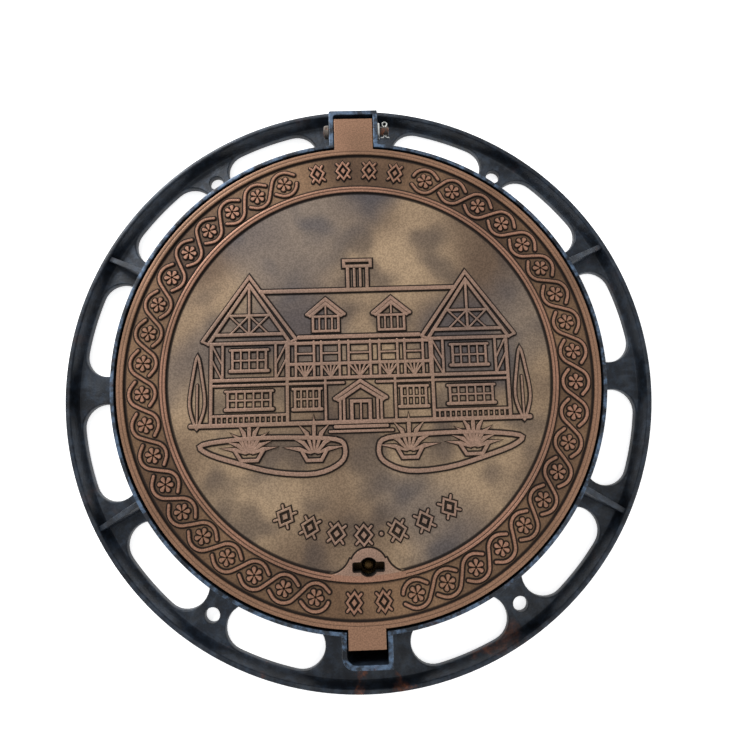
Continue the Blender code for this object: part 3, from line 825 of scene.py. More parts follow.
def dust_group() -> EffectGroup:
    """Pale dust that settles on faces that look up.

    Returns:
        The group.
    """
    group = EffectGroup("settled_dust", {"Vector": None, "Amount": 0.3},
        {"Mask": "NodeSocketFloat"})
    tree = group.tree
    normal = add_node(tree, "ShaderNodeNewGeometry").outputs["Normal"]
    upward = add_node(tree, "ShaderNodeSeparateXYZ", {0: normal}).outputs["Z"]
    lying = scaled(tree, upward, 0.2, 0.95)
    cloud = scaled(tree, noise(tree, group.inputs["Vector"], 38.0, 6.0, 0.7), 0.42, 0.7)
    held = reckoned(tree, "MULTIPLY", lying, cloud)
    group.give("Mask", reckoned(tree, "MULTIPLY", held, group.inputs["Amount"]))
    return group


@dataclass
class Effects:
    """The shared shader groups, built once."""

    clouds: EffectGroup = field(default_factory=cloud_group)
    grain: EffectGroup = field(default_factory=grain_group)
    wear: EffectGroup = field(default_factory=wear_group)
    rust: EffectGroup = field(default_factory=rust_group)
    dust: EffectGroup = field(default_factory=dust_group)


class FinishNodes:
    """A new material with its shader, its object coordinates and ways to add effects."""

    def __init__(self, name: str, effects: Effects, roughness: float, metallic: float) -> None:
        """Start a material.

        Args:
            name: Name of the finish.
            effects: The shared groups.
            roughness: The shader's own roughness, where nothing varies it.
            metallic: The shader's own metallic value.
        """
        self.material = bpy.data.materials.new(name)
        self.material.use_nodes = True
        self.effects = effects
        self.tree = self.material.node_tree
        self.shader = self.tree.nodes["Principled BSDF"]
        self.shader.inputs["Roughness"].default_value = roughness
        self.shader.inputs["Metallic"].default_value = metallic
        self.place = add_node(self.tree, "ShaderNodeTexCoord").outputs["Object"]

    def effect(self, group: EffectGroup, **values: object) -> bpy.types.NodeOutputs:
        """Place a shared group over the object coordinates and return its outputs.

        Args:
            group: The shared group.
            values: Values of its inputs.

        Returns:
            Its outputs.
        """
        made = add_node(self.tree, "ShaderNodeGroup", node_tree=group.tree)
        self.tree.links.new(self.place, made.inputs["Vector"])
        for label, value in values.items():
            made.inputs[label].default_value = value
        return made.outputs

    def attribute(self, name: str) -> Socket:
        """Read a point attribute."""
        return add_node(self.tree, "ShaderNodeAttribute", attribute_name=name).outputs["Fac"]

    def bump(self, height: Socket, strength: float, distance: float) -> None:
        """Feed the shader's normal from a height."""
        made = add_node(self.tree, "ShaderNodeBump", {"Height": height, "Strength": strength,
            "Distance": distance * MM})
        self.tree.links.new(made.outputs[0], self.shader.inputs["Normal"])

    def feed(self, label: str, socket: Socket) -> None:
        """Feed one of the shader's inputs."""
        self.tree.links.new(socket, self.shader.inputs[label])


@dataclass(frozen=True)
class CopperFinish:
    """Antique copper over cast iron: clouded fields, recesses dark with patina and painted shade,
    and rubbed high lines.

    Attributes:
        medallion_edge: Radius where the grey medallion gives way to the redder border.
        high_from: Height above which a line's top is rubbed bright.
        high_to: Height where it is fully rubbed.
        band_edge: Radius beyond which the rim's band is duller than the ornament.
    """

    medallion_edge: float
    high_from: float
    high_to: float
    band_edge: float = 309.0
    roughness: float = 0.46
    metallic: float = 0.35
    gold: Colour = tone(167, 142, 114)
    brown: Colour = tone(102, 83, 68)
    dusk: Colour = tone(74, 65, 62)
    slate: Colour = tone(72, 74, 82)
    border_light: Colour = tone(132, 103, 78)
    border_dark: Colour = tone(72, 54, 42)
    line_medallion: Colour = tone(154, 124, 107)
    line_border: Colour = tone(160, 119, 98)
    # Near-black patina in the hollows, and painted shade along the feet of the raised lines and
    # down the keyhole.
    recess_patina_and_shade: Colour = tone(20, 13, 11)

    def build(self, effects: Effects) -> Finish:
        """Make the material.

        Args:
            effects: The shared shader groups.

        Returns:
            The material.
        """
        nodes = FinishNodes("antique_copper", effects, self.roughness, self.metallic)
        tree = nodes.tree
        clouds = nodes.effect(effects.clouds, Size=9.0)
        bluish = nodes.effect(effects.clouds, Size=6.5, Shift=3.7)
        grain = nodes.effect(effects.grain, Grit=620.0, Pitting=0.2)
        split = add_node(tree, "ShaderNodeSeparateXYZ", {0: nodes.place})
        flat = add_node(tree, "ShaderNodeCombineXYZ",
                        {"X": split.outputs[0], "Y": split.outputs[1]})
        radius = add_node(tree, "ShaderNodeVectorMath", {0: flat.outputs[0]},
            operation="LENGTH").outputs["Value"]
        outside = scaled(tree, radius, (self.medallion_edge - 1.0) * MM,
            (self.medallion_edge + 1.0) * MM)
        warm = tone_mix(tree, clouds["Cloud"], self.brown, self.gold)
        clouded = tone_mix(tree, scaled(tree, clouds["Wisp"], 0.25, 1.0, 0.0, 0.7), warm,
            self.dusk)
        medallion = tone_mix(tree, scaled(tree, bluish["Cloud"], 0.42, 1.0, 0.0, 0.58), clouded,
            self.slate)
        border = tone_mix(tree, clouds["Cloud"], self.border_dark, self.border_light)
        field_tone = tone_mix(tree, outside, medallion, border)
        line_tone = tone_mix(tree, outside, self.line_medallion, self.line_border)
        rubbed = scaled(tree, split.outputs[2], self.high_from * MM, self.high_to * MM)
        patchy = reckoned(tree, "MULTIPLY", rubbed, scaled(tree, bluish["Wisp"], 0.0, 1.0, 1.0,
            0.62))
        on_band = scaled(tree, radius, (self.band_edge - 1.0) * MM, (self.band_edge + 1.0) * MM,
            0.0, 0.5)
        line_tone = tone_mix(tree, on_band, line_tone, self.border_light)
        lit = tone_mix(tree, patchy, field_tone, line_tone)
        speck = scaled(tree, clouds["Speckle"], 0.0, 1.0, 0.80, 1.16)
        speckled = add_node(tree, "ShaderNodeMix", {0: 1.0, 6: lit}, data_type="RGBA",
            blend_type="MULTIPLY")
        tree.links.new(speck, speckled.inputs[7])
        # Darkens the colour by the point attribute: patina and painted shade at the feet of lines
        # and in cut walls.
        dirt_and_shade = nodes.attribute(GRIME_AND_SHADE)
        grimy_and_shaded = tone_mix(tree, reckoned(tree, "MINIMUM", dirt_and_shade, 0.97), speckled.outputs[2],
            self.recess_patina_and_shade)
        nodes.feed("Base Color", grimy_and_shaded)
        dull = reckoned(tree, "MULTIPLY_ADD", dirt_and_shade, 0.35, self.roughness)
        nodes.feed("Roughness", reckoned(tree, "MULTIPLY_ADD", rubbed, -0.06, dull))
        nodes.feed("Metallic", reckoned(tree, "MULTIPLY_ADD", dirt_and_shade, -0.3, self.metallic))
        nodes.shader.inputs["Specular IOR Level"].default_value = 0.22
        nodes.bump(grain["Height"], 0.35, 0.35)
        return nodes.material


@dataclass(frozen=True)
class IronFinish:
    """Dipped or bare cast iron with dust, rubbed edges and rust; the rubbed colour gathers on the
    rim's top, partly as wear and partly as a painted highlight.

    Attributes:
        name: Name of the finish.
        deep: Colour in the hollows.
        face: Colour of most of the surface.
        rubbed: Colour of the rubbed edges and of the painted highlight on the rim's top.
        rust: Share of the surface that rust may bloom on.
        rust_south: Y, in millimetres, south of which rust blooms more, or None.
    """

    name: str
    deep: Colour
    face: Colour
    rubbed: Colour
    rust: float
    dust: float = 0.25
    roughness: float = 0.5
    metallic: float = 0.3
    rust_south: float | None = None

    def build(self, effects: Effects) -> Finish:
        """Make the material.

        Args:
            effects: The shared shader groups.

        Returns:
            The material.
        """
        nodes = FinishNodes(self.name, effects, self.roughness, self.metallic)
        tree = nodes.tree
        clouds = nodes.effect(effects.clouds, Size=16.0, Shift=1.3)
        grain = nodes.effect(effects.grain, Grit=360.0, Pitting=0.7)
        rust = nodes.effect(effects.rust, Size=17.0, Coverage=self.rust)
        dust = nodes.effect(effects.dust, Amount=self.dust)
        base = tone_mix(tree, clouds["Cloud"], self.deep, self.face)
        split = add_node(tree, "ShaderNodeSeparateXYZ", {0: nodes.place})
        # Rubbed spots gather on the rim's top: partly worn iron, partly a painted highlight of its
        # bluish sheen.
        crest = scaled(tree, split.outputs[2], 98.4 * MM, 99.8 * MM)
        broken = scaled(tree, noise(tree, nodes.place, 75.0, 5.0, 0.7), 0.42, 0.66)
        scuffs_and_highlight = reckoned(tree, "MULTIPLY", reckoned(tree, "MULTIPLY_ADD", crest, 0.85, 0.15),
            broken)
        worn = tone_mix(tree, scuffs_and_highlight, base, self.rubbed)
        dusty = tone_mix(tree, dust["Mask"], worn, tone(112, 118, 124))
        bloom = rust["Mask"]
        if self.rust_south is not None:
            near = scaled(tree, split.outputs[1], (self.rust_south - 40) * MM,
                (self.rust_south + 40) * MM, 1.0, 0.12)
            bloom = reckoned(tree, "MULTIPLY", bloom, near)
        rusted = tone_mix(tree, bloom, dusty, rust["Color"])
        # Near-black dirt and painted shade in hollows, in the gap to the cover and deep in the
        # pockets.
        dirt_and_shade = nodes.attribute(GRIME_AND_SHADE)
        nodes.feed("Base Color", tone_mix(tree, dirt_and_shade, rusted, tone(10, 10, 12)))
        rough = reckoned(tree, "MULTIPLY_ADD", bloom, 0.3, self.roughness)
        spread = reckoned(tree, "MULTIPLY_ADD", clouds["Wisp"], 0.14, rough)
        nodes.feed("Roughness", spread)
        nodes.feed("Metallic", reckoned(tree, "MULTIPLY_ADD", bloom, -self.metallic,
            self.metallic))
        nodes.bump(grain["Height"], 0.5, 0.6)
        return nodes.material


@dataclass(frozen=True)
class MetalFinish:
    """Machined or plated metal with tool marks, stain and rubbed edges."""

    name: str
    bright: Colour
    stained: Colour
    rubbed: Colour
    roughness: float = 0.34
    metallic: float = 0.9
    rust: float = 0.3
    # Dark dirt and painted shade in corners and under other parts.
    dirt_and_shade: Colour = tone(26, 18, 13)

    def build(self, effects: Effects) -> Finish:
        """Make the material.

        Args:
            effects: The shared shader groups.

        Returns:
            The material.
        """
        nodes = FinishNodes(self.name, effects, self.roughness, self.metallic)
        tree = nodes.tree
        clouds = nodes.effect(effects.clouds, Size=70.0, Shift=0.4)
        wear = nodes.effect(effects.wear, Reach=0.565, Breakup=190.0)
        rust = nodes.effect(effects.rust, Size=110.0, Coverage=self.rust)
        grain = nodes.effect(effects.grain, Grit=1500.0, Pitting=0.1)
        base = tone_mix(tree, clouds["Cloud"], self.stained, self.bright)
        worn = tone_mix(tree, wear["Mask"], base, self.rubbed)
        rusted = tone_mix(tree, rust["Mask"], worn, rust["Color"])
        # Darkens the colour by the point attribute: dirt and painted shade.
        dirt_and_shade = nodes.attribute(GRIME_AND_SHADE)
        nodes.feed("Base Color", tone_mix(tree, dirt_and_shade, rusted, self.dirt_and_shade))
        rough = reckoned(tree, "MULTIPLY_ADD", clouds["Wisp"], 0.2, self.roughness)
        nodes.feed("Roughness", reckoned(tree, "MULTIPLY_ADD", rust["Mask"], 0.3, rough))
        nodes.feed("Metallic", reckoned(tree, "MULTIPLY_ADD", rust["Mask"], -0.8, self.metallic))
        nodes.bump(grain["Height"], 0.25, 0.12)
        return nodes.material


@dataclass(frozen=True)
class RubberFinish:
    """Matt black moulded rubber with a bloom of dust."""

    face: Colour = tone(30, 30, 31)
    bloom: Colour = tone(78, 76, 72)
    roughness: float = 0.8

    def build(self, effects: Effects) -> Finish:
        """Make the material.

        Args:
            effects: The shared shader groups.

        Returns:
            The material.
        """
        nodes = FinishNodes("seal_rubber", effects, self.roughness, 0.0)
        tree = nodes.tree
        clouds = nodes.effect(effects.clouds, Size=40.0, Shift=2.1)
        dust = nodes.effect(effects.dust, Amount=0.7)
        grain = nodes.effect(effects.grain, Grit=900.0, Pitting=0.1)
        base = tone_mix(tree, clouds["Wisp"], self.face, tone(42, 41, 41))
        nodes.feed("Base Color", tone_mix(tree, dust["Mask"], base, self.bloom))
        nodes.feed("Roughness", reckoned(tree, "MULTIPLY_ADD", clouds["Cloud"], 0.12, 0.72))
        nodes.bump(grain["Height"], 0.25, 0.15)
        return nodes.material


class Finishes:
    """All the materials of the object."""

    def __init__(self) -> None:
        """Build the shared groups and then each material."""
        effects = Effects()
        self.copper = CopperFinish(255.5, 98.2, 99.3).build(effects)
        # The bluish rubbed colour is partly wear and partly a painted highlight on the rim's top.
        self.coated = IronFinish("blue_black_dip", tone(15, 19, 26), tone(31, 38, 48),
            tone(88, 110, 136), rust=0.42, dust=0.16, roughness=0.37, rust_south=-360.0).build(
            effects)
        self.underside = IronFinish("bitumen_underside", tone(22, 21, 21), tone(46, 43, 41),
            tone(92, 84, 76), rust=0.46, dust=0.2, roughness=0.5).build(effects)
        self.zinc = MetalFinish("zinc_plate", tone(196, 197, 192), tone(146, 146, 140),
            tone(222, 222, 218)).build(effects)
        self.brass = MetalFinish("worn_brass", tone(196, 158, 96), tone(122, 92, 54),
            tone(226, 196, 136), roughness=0.36, rust=0.16).build(effects)
        self.dark_steel = MetalFinish("oiled_steel", tone(92, 84, 78), tone(52, 45, 41),
            tone(146, 138, 130), roughness=0.44, rust=0.48).build(effects)
        self.rubber = RubberFinish().build(effects)


# ---- relief ----------------------------------------------------------------------------------
@dataclass(frozen=True)
class ReliefLine:
    """Section of a raised line: a flat or rounded top, drafted sides and a foot darkened by patina
    and painted shade.

    Attributes:
        width: Width of the top's foot, without the skirt.
        height: Height above the field.
        crown: Share of the height that the rounding of the top takes.
        skirt: Width of the strip on the field each side that is darkened by patina and painted
            shade.
    """

    width: float
    height: float = 2.3
    crown: float = 0.12
    skirt: float = 1.9

    def section(self) -> list[SectionPoint]:
        """Offsets, heights above the field and their patina and painted shade, from the left foot
        to the right.

        Returns:
            The points, 12 for each section.
        """
        half = self.width / 2
        # Third values: patina and painted shade, darkest at the line's foot, clear on its top and
        # at the skirt's edge.
        side = [(half + self.skirt, 0.03, 0.0), (half + self.skirt * 0.68, 0.10, 0.9),
            (half + 0.35, 0.20, 1.0), (half, self.height * 0.5, 0.9),
            (half - 0.25, self.height * (1 - self.crown), 0.2),
            (half - 0.28 - 0.3 * half, self.height, 0.0)]
        left = [(-offset, height, dirt_and_shade) for offset, height, dirt_and_shade in side]
        return left + [(offset, height, dirt_and_shade) for offset, height, dirt_and_shade in reversed(side)]


def flowing(points: Outline, steps: int = 4) -> list[Point]:
    """Run a closed smooth curve through points.

    Args:
        points: The points, in order round the curve.
        steps: Points drawn for each given point.

    Returns:
        The points of the curve.
    """
    count = len(points)
    places = [Vector(point) for point in points]
    drawn = []
    for index in range(count):
        before, here = places[index - 1], places[index]
        there, after = places[(index + 1) % count], places[(index + 2) % count]
        for step in range(steps):
            t = step / steps
            place = 0.5 * (2 * here + (there - before) * t + (
                2 * before - 5 * here + 4 * there - after) * t**2
                + (3 * here - before - 3 * there + after) * t**3)
            drawn.append((place.x, place.y))
    return drawn


class ReliefBook:
    """Gathers raised lines and patches on one field and turns them into one mesh."""

    FOOT = 0.6
    END_STEPS = 3
    END_TURN = 1.54
    LAYER = 0.012
    LAYERS = 9

    def __init__(self, field_height: float) -> None:
        """Start an empty sheet.

        Args:
            field_height: Height of the field, in millimetres.
        """
        self.field_height = field_height
        self.points: list[Vector] = []
        self.dirt_and_shade_values: list[float] = []
        self.faces: list[tuple[int, ...]] = []
        self.drawn = 0

    def _skin(self, rings: list[list[tuple[Vector, float]]], wrap: bool) -> None:
        """Add closed rings of points as one solid."""
        self.faces += skin(len(self.points), len(rings[0]), len(rings), wrap)
        for point, dirt_and_shade in (pair for ring in rings for pair in ring):
            self.points.append(point)
            self.dirt_and_shade_values.append(dirt_and_shade)

    def next_lift(self) -> float:
        """Small rise of the next line, so that tops that cross never share a plane."""
        self.drawn += 1
        return self.LAYER * ((self.drawn - 1) % self.LAYERS)

    def line(self, path: Outline, style: ReliefLine, closed: bool = False) -> None:
        """Draw a raised line along a path, with mitred corners and round ends.

        Args:
            path: The points of its centre line.
            style: Its section.
            closed: Join the end to the start.
        """
        lift = self.next_lift()
        section = style.section()
        lowest = -self.FOOT
        outline = [(section[0][0], lowest, 0.0)] + section + [(section[-1][0], lowest, 0.0)]
        points = [Vector(point) for point in path]
        count = len(points)
        rings = []

        def ring(at: Vector, normal: Vector, forward: Vector, turn: float, stretch: float) -> None:
            """Add the section at a point, swung round an end by a turn in radians.

            Args:
                at: Place on the centre line.
                normal: Way across the line.
                forward: Way along the line.
                turn: Swing round an end, in radians.
                stretch: Widening at a mitred corner.
            """
            here = []
            for offset, height, dirt_and_shade in outline:
                side = at + normal * (offset * math.cos(turn) * stretch)
                swung = side + forward * (abs(offset) * math.sin(turn))
                top = height + lift if height > 0.5 else height
                here.append((Vector((swung.x, swung.y, self.field_height + top)), dirt_and_shade))
            rings.append(here)

        for index, point in enumerate(points):
            first_end = index == 0 and not closed
            last_end = index == count - 1 and not closed
            before = points[index - 1] if not first_end else point * 2 - points[1]
            after = points[(index + 1) % count] if not last_end else point * 2 - points[-2]
            into = (point - before).normalized()
            out = (after - point).normalized()
            along = (into + out).normalized()
            normal = Vector((-along.y, along.x))
            stretch = min(2.2, 1 / max(0.25, abs(along.dot(into))))
            if first_end:
                for step in range(self.END_STEPS, 0, -1):
                    turn = math.pi / 2 * step / self.END_STEPS
                    ring(point, normal, -along, min(turn, self.END_TURN), 1.0)
            ring(point, normal, along, 0.0, stretch)
            if last_end:
                for step in range(1, self.END_STEPS + 1):
                    turn = math.pi / 2 * step / self.END_STEPS
                    ring(point, normal, along, min(turn, self.END_TURN), 1.0)
        self._skin(rings, closed)

    def patch(self, outline: Outline, style: ReliefLine) -> None:
        """Raise a closed counter-clockwise outline as a solid patch.

        Args:
            outline: Its plan at mid height.
            style: Its height, skirt and crown.
        """
        lift = self.next_lift()
        # Each level's third value is its patina and painted shade, darkest at the foot.
        levels = [(style.skirt, -self.FOOT, 0.0), (style.skirt, 0.03, 0.0),
            (style.skirt * 0.68, 0.10, 0.9), (0.35, 0.20, 1.0), (0.0, style.height * 0.5, 0.85),
            (-0.3, style.height * (1 - style.crown), 0.15), (-0.75, style.height + lift, 0.0)]
        rings = []
        for distance, height, dirt_and_shade in levels:
            rings.append([(Vector((x, y, self.field_height + height)), dirt_and_shade) for x,
                y in grown(outline, distance)])
        self._skin(rings, False)

    def piece(self, name: str, material: Finish) -> Solid:
        """Make the mesh of everything drawn so far.

        Args:
            name: Name of the object.
            material: The finish.

        Returns:
            The object.
        """
        return dressed(from_points(name, self.points, self.dirt_and_shade_values, self.faces), material)


@dataclass
class Border:
    """The ornament of the outer field: rosettes, the scroll that winds past them, lozenges.

    Attributes:
        radius: Middle radius of the ornament.
        rosettes: Rosettes on each side of the hinge line.
        first: Bearing of the first rosette.
        last: Bearing of the last rosette on that side.
        wrap: Radius of the scroll's arc round a rosette.
    """

    field_height: float
    radius: float = 286.4
    rosettes: int = 19
    first: float = 19.9
    last: float = 167.2
    wrap: float = 17.2
    wrap_end: float = 52.0
    wrap_ease: float = 14.0
    free_end: float = 7.5
    petal_count: int = 6
    petal_reach: float = 10.6
    petal_radius: float = 3.25
    petal_root: float = 1.9
    scroll: ReliefLine = ReliefLine(width=4.2, height=2.6, crown=0.30, skirt=2.5)
    petal: ReliefLine = ReliefLine(width=6.0, height=2.3, crown=0.28, skirt=2.0)
    lozenge_line: ReliefLine = ReliefLine(width=3.2, height=2.4, crown=0.16, skirt=2.0)
    top_marks: tuple[float, float, int] = (-10.3, 7.2, 4)
    bottom_marks: tuple[float, float, int] = (175.6, 7.4, 2)

    @property
    def pitch(self) -> float:
        """Degrees between rosettes."""
        return (self.last - self.first) / (self.rosettes - 1)

    def _bent(self, along: float, outward: float) -> Point:
        """Place a point given along the border and outward, on the curve at bearing zero."""
        return on_bearing(self.radius + outward, math.degrees(along / self.radius))

    def _free_point(self, end: Point, angle: float) -> Point:
        """The tip of a straight free end that leaves an arc at an angle in degrees."""
        turn = math.radians(angle)
        return (end[0] + self.free_end * math.sin(turn), end[1] - self.free_end * math.cos(turn))

    def _petal_outline(self, turn: float) -> list[Point]:
        """One petal: a narrow root, straight flanks and a round tip.

        Args:
            turn: Turn of the petal, in degrees.

        Returns:
            The outline, counter-clockwise.
        """
        tip_centre = self.petal_reach - self.petal_radius
        shape = [(self.petal_root * 0.7, -self.petal_root * 0.42)]
        shape += arc((tip_centre, 0.0), self.petal_radius, -78, 78, 8)
        shape += [(self.petal_root * 0.7, self.petal_root * 0.42)]
        angle = math.radians(turn)
        return [(x * math.cos(angle) - y * math.sin(angle),
            self.radius + x * math.sin(angle) + y * math.cos(angle)) for x, y in shape]

    def rosette(self, material: Finish) -> Solid:
        """One rosette at bearing zero.

        Args:
            material: The finish.

        Returns:
            The rosette.
        """
        book = ReliefBook(self.field_height)
        for petal in range(self.petal_count):
            book.patch(self._petal_outline(360 / self.petal_count * petal), self.petal)
        return book.piece("rosette", material)

    def _scroll_path(self) -> list[Point]:
        """One scroll, from under one rosette to over the next, as (along, outward).

        Returns:
            The points of its centre line.
        """
        half_pitch = math.radians(self.pitch) * self.radius / 2
        lean = math.degrees(math.asin(self.wrap / half_pitch))
        first = -90 - self.wrap_end + self.wrap_ease
        under = arc((-half_pitch, 0.0), self.wrap, first, lean - 90, 11)
        first_half = [self._free_point(under[0], first)] + under
        middle = [(under[-1][0] * share, under[-1][1] * share) for share in (0.5, 0.0, -0.5)]
        return first_half + middle + [(-x, -y) for x, y in reversed(first_half)]

    def scroll_piece(self, material: Finish) -> Solid:
        """One scroll, centred on bearing zero.

        Args:
            material: The finish.

        Returns:
            The scroll.
        """
        book = ReliefBook(self.field_height)
        book.line([self._bent(*point) for point in self._scroll_path()], self.scroll)
        return book.piece("scroll", material)

    def closing_arc(self, side: int, material: Finish) -> Solid:
        """The short arc that closes the rosette at either end of the border.

        Args:
            side: 1 outside the rosette, -1 inside it.
            material: The finish.

        Returns:
            The arc.
        """
        last = 90 - self.wrap_end + self.wrap_ease
        path = arc((0.0, 0.0), self.wrap, 168, last, 10)
        path.append(self._free_point(path[-1], last))
        book = ReliefBook(self.field_height)
        book.line([self._bent(side * x, side * y) for x, y in path], self.scroll)
        return book.piece("closing_arc", material)

    def lozenge(self, radius: float, half_width: float, half_height: float,
            material: Finish) -> Solid:
        """A plain nested lozenge that stands where lettering would be.

        Args:
            radius: Distance of its centre from the centre of the cover.
            half_width: Half its width.
            half_height: Half its height.
            material: The finish.

        Returns:
            The motif at bearing zero.
        """
        book = ReliefBook(self.field_height)
        corners = [(half_width, 0.0), (0.0, half_height), (-half_width, 0.0), (0.0, -half_height)]
        outer = [(x, radius + y) for x, y in corners]
        book.line(outer, self.lozenge_line, closed=True)
        core = [(x * 0.42, radius + y * 0.42) for x, y in corners]
        book.patch(core, self.lozenge_line)
        for x_side in (-1, 1):
            for y_side in (-1, 1):
                inner = (x_side * half_width * 0.66, radius + y_side * half_height * 0.62)
                outer_end = (x_side * half_width * 0.95, radius + y_side * half_height * 0.88)
                book.line([inner, outer_end], self.lozenge_line)
        return book.piece("lozenge", material)

    def dress(self, shop: Shop, material: Finish) -> list[Solid]:
        """Make the whole border.

        Args:
            shop: The shape maker.
            material: The finish.

        Returns:
            Rosettes, scrolls and lozenges.
        """
        rosettes = shop.both_sides(lambda: self.rosette(material), self.first, self.pitch,
            self.rosettes, material)
        scrolls = shop.both_sides(lambda: self.scroll_piece(material), self.first + self.pitch / 2,
            self.pitch, self.rosettes - 1, material)
        for bearing, side in ((self.first, 1), (self.last, -1), (-self.last, 1),
                (-self.first, -1)):
            scrolls.append(shop.around(self.closing_arc(side, material), bearing, 0.0, 1,
                material))
        lozenges = []
        for first, pitch, count in (self.top_marks, self.bottom_marks):
            motif = self.lozenge(self.radius + 1.5, 9.0, 12.2, material)
            lozenges.append(shop.around(motif, first, pitch, count, material))
        return [joined("border_rosettes", rosettes), joined("border_scrolls", scrolls),
            joined("border_lozenges", lozenges)]


@dataclass
class Picture:
    """The relief of the medallion: a plain timbered hall between two wings, and lozenges.

    All places are in millimetres on the cover's face, +Y towards the hinge.
    """

    field_height: float
    heavy: ReliefLine = ReliefLine(width=5.6, height=2.6, skirt=2.7)
    medium: ReliefLine = ReliefLine(width=4.6, height=2.45, skirt=2.5)
    light: ReliefLine = ReliefLine(width=3.6, height=2.3, skirt=2.3)
    fine: ReliefLine = ReliefLine(width=2.7, height=2.15, skirt=1.8)
    ground: float = -62.0
    jetty: float = -3.0
    eaves: float = 46.0
    ridge: float = 116.0
    hall_half: float = 94.0
    wing_middle: float = 146.0
    wing_half: float = 50.0
    wing_apex: float = 137.0
    arc_radius: float = 206.0
    arc_marks: tuple[tuple[float, float, int], ...] = ((180.2, 9.65, 4), (147.9, 10.1, 3))
    arc_dot: float = 174.0
    book: ReliefBook = field(init=False)

    def __post_init__(self) -> None:
        """Start the sheet that the picture is drawn on."""
        self.book = ReliefBook(self.field_height)

    def rows(self, xs: Sequence[float], low: float, high: float, style: ReliefLine) -> None:
        """Draw upright posts between two heights."""
        for x in xs:
            self.book.line([(x, low), (x, high)], style)

    def rails(self, left: float, right: float, ys: Sequence[float], style: ReliefLine) -> None:
        """Draw level rails between two ends."""
        for y in ys:
            self.book.line([(left, y), (right, y)], style)

    def bays(self, left: float, right: float, shares: Sequence[float]) -> list[float]:
        """Split a width into bays by their shares and return all the posts' places.

        Args:
            left: Its left end.
            right: Its right end.
            shares: Relative width of each bay.

        Returns:
            The posts' places, both ends included.
        """
        total = sum(shares)
        places = [left]
        for share in shares:
            places.append(places[-1] + (right - left) * share / total)
        return places

    def fan(self, left: float, right: float, low: float, high: float, blades: int) -> None:
        """Draw braces that fan up and out from the middle of a bay's foot."""
        middle = (left + right) / 2
        for blade in range(blades):
            share = blade / (blades - 1)
            self.book.line([(middle, low), (left + (right - left) * share, high)], self.fine)

    def frame_box(self, left: float, right: float, low: float, high: float,
            style: ReliefLine) -> None:
        """Draw a rectangle."""
        self.book.line([(left, low), (right, low), (right, high), (left, high)], style,
            closed=True)

    def window(self, left: float, right: float, low: float, high: float, columns: int,
            rows: int) -> None:
        """Draw a window with its frame, its sill and its glazing bars.

        Args:
            left: Its left end.
            right: Its right end.
            low: Its lower end.
            high: Its upper end.
            columns: Panes across.
            rows: Panes up.
        """
        self.frame_box(left, right, low, high, self.light)
        self.book.line([(left - 3, low), (right + 3, low)], self.medium)
        self.book.line([(left - 3, high), (right + 3, high)], self.light)
        self.rows(self.bays(left, right, [1] * columns)[1:-1], low, high, self.fine)
        self.rails(left, right, self.bays(low, high, [1] * rows)[1:-1], self.fine)

    def gable(self, left: Point, apex: Point, right: Point, board: float) -> None:
        """Draw a gable's double bargeboards with cut ends.

        Args:
            left: Foot of the left board.
            apex: Top of both boards.
            right: Foot of the right board.
            board: Width of a board.
        """
        self.book.line([left, apex, right], self.medium)
        drop = board * 1.35
        inner = [(left[0] + board, left[1] - board * 0.5), (apex[0], apex[1] - drop),
            (right[0] - board, right[1] - board * 0.5)]
        self.book.line(inner, self.medium)
        for end, inner_end in ((left, inner[0]), (right, inner[2])):
            self.book.line([end, inner_end], self.light)

    def dormer(self, centre: float, foot: float, half: float, height: float, slats: int) -> None:
        """Draw a roof dormer with a small gable and a slatted light.

        Args:
            centre: Middle of the dormer.
            foot: Height of its sill.
            half: Half the width of its eaves.
            height: Height to the top of its gable.
            slats: Bars in its light.
        """
        eaves = foot + height * 0.52
        self.gable((centre - half, eaves), (centre, foot + height), (centre + half, eaves), 4.5)
        body = half * 0.68
        self.book.line([(centre - body, eaves - 2), (centre - body, foot), (centre + body, foot),
            (centre + body, eaves - 2)], self.light)
        self.rails(centre - body, centre + body, [eaves - 3], self.light)
        inner = self.bays(centre - body, centre + body, [1] * (slats + 1))[1:-1]
        self.rows(inner, foot, eaves - 3, self.fine)
        self.book.line([(centre, eaves), (centre, foot + height * 0.8)], self.fine)

    def wing(self, side: int) -> None:
        """Draw one gabled wing: its bargeboards, braces, storeys and windows.

        Args:
            side: West (-1) or east (1).
        """
        middle = side * self.wing_middle
        left, right = middle - self.wing_half, middle + self.wing_half
        reach = self.wing_half + 12
        tie = self.eaves + 12
        self.gable((middle - reach, self.eaves + 4), (middle, self.wing_apex),
            (middle + reach, self.eaves + 4), 8.0)
        self.rails(middle - 45, middle + 45, [tie], self.medium)
        self.rails(middle - 26, middle + 26, [tie + 26], self.light)
        self.rows([middle], tie, self.wing_apex - 14, self.light)
        for bay in (-26, 0):
            self.book.line([(middle + bay, tie), (middle + bay + 26, tie + 26)], self.fine)
            self.book.line([(middle + bay, tie + 26), (middle + bay + 26, tie)], self.fine)
        self.rails(left, right, [self.eaves, self.jetty], self.medium)
        self.rails(left, right, [self.jetty - 7], self.light)
        self.rows([left, right], self.ground, self.eaves, self.medium)
        self.rows([left + 15, right - 15], self.jetty, self.eaves, self.light)
        self.window(middle - 22, middle + 22, self.jetty + 12, self.eaves - 9, 4, 2)
        for end, turn in ((left, 1), (right, -1)):
            self.book.line([(end, self.eaves - 20), (end + turn * 15, self.jetty)], self.fine)
            self.book.line([(end, self.eaves), (end + turn * 15, self.jetty + 20)], self.fine)
        self.window(middle - 28, middle + 28, self.ground + 20, self.jetty - 15, 5, 2)
        self.rows(self.bays(left, right, [1] * 14), self.ground, self.ground + 12, self.fine)
        self.rails(left, right, [self.ground + 12], self.light)

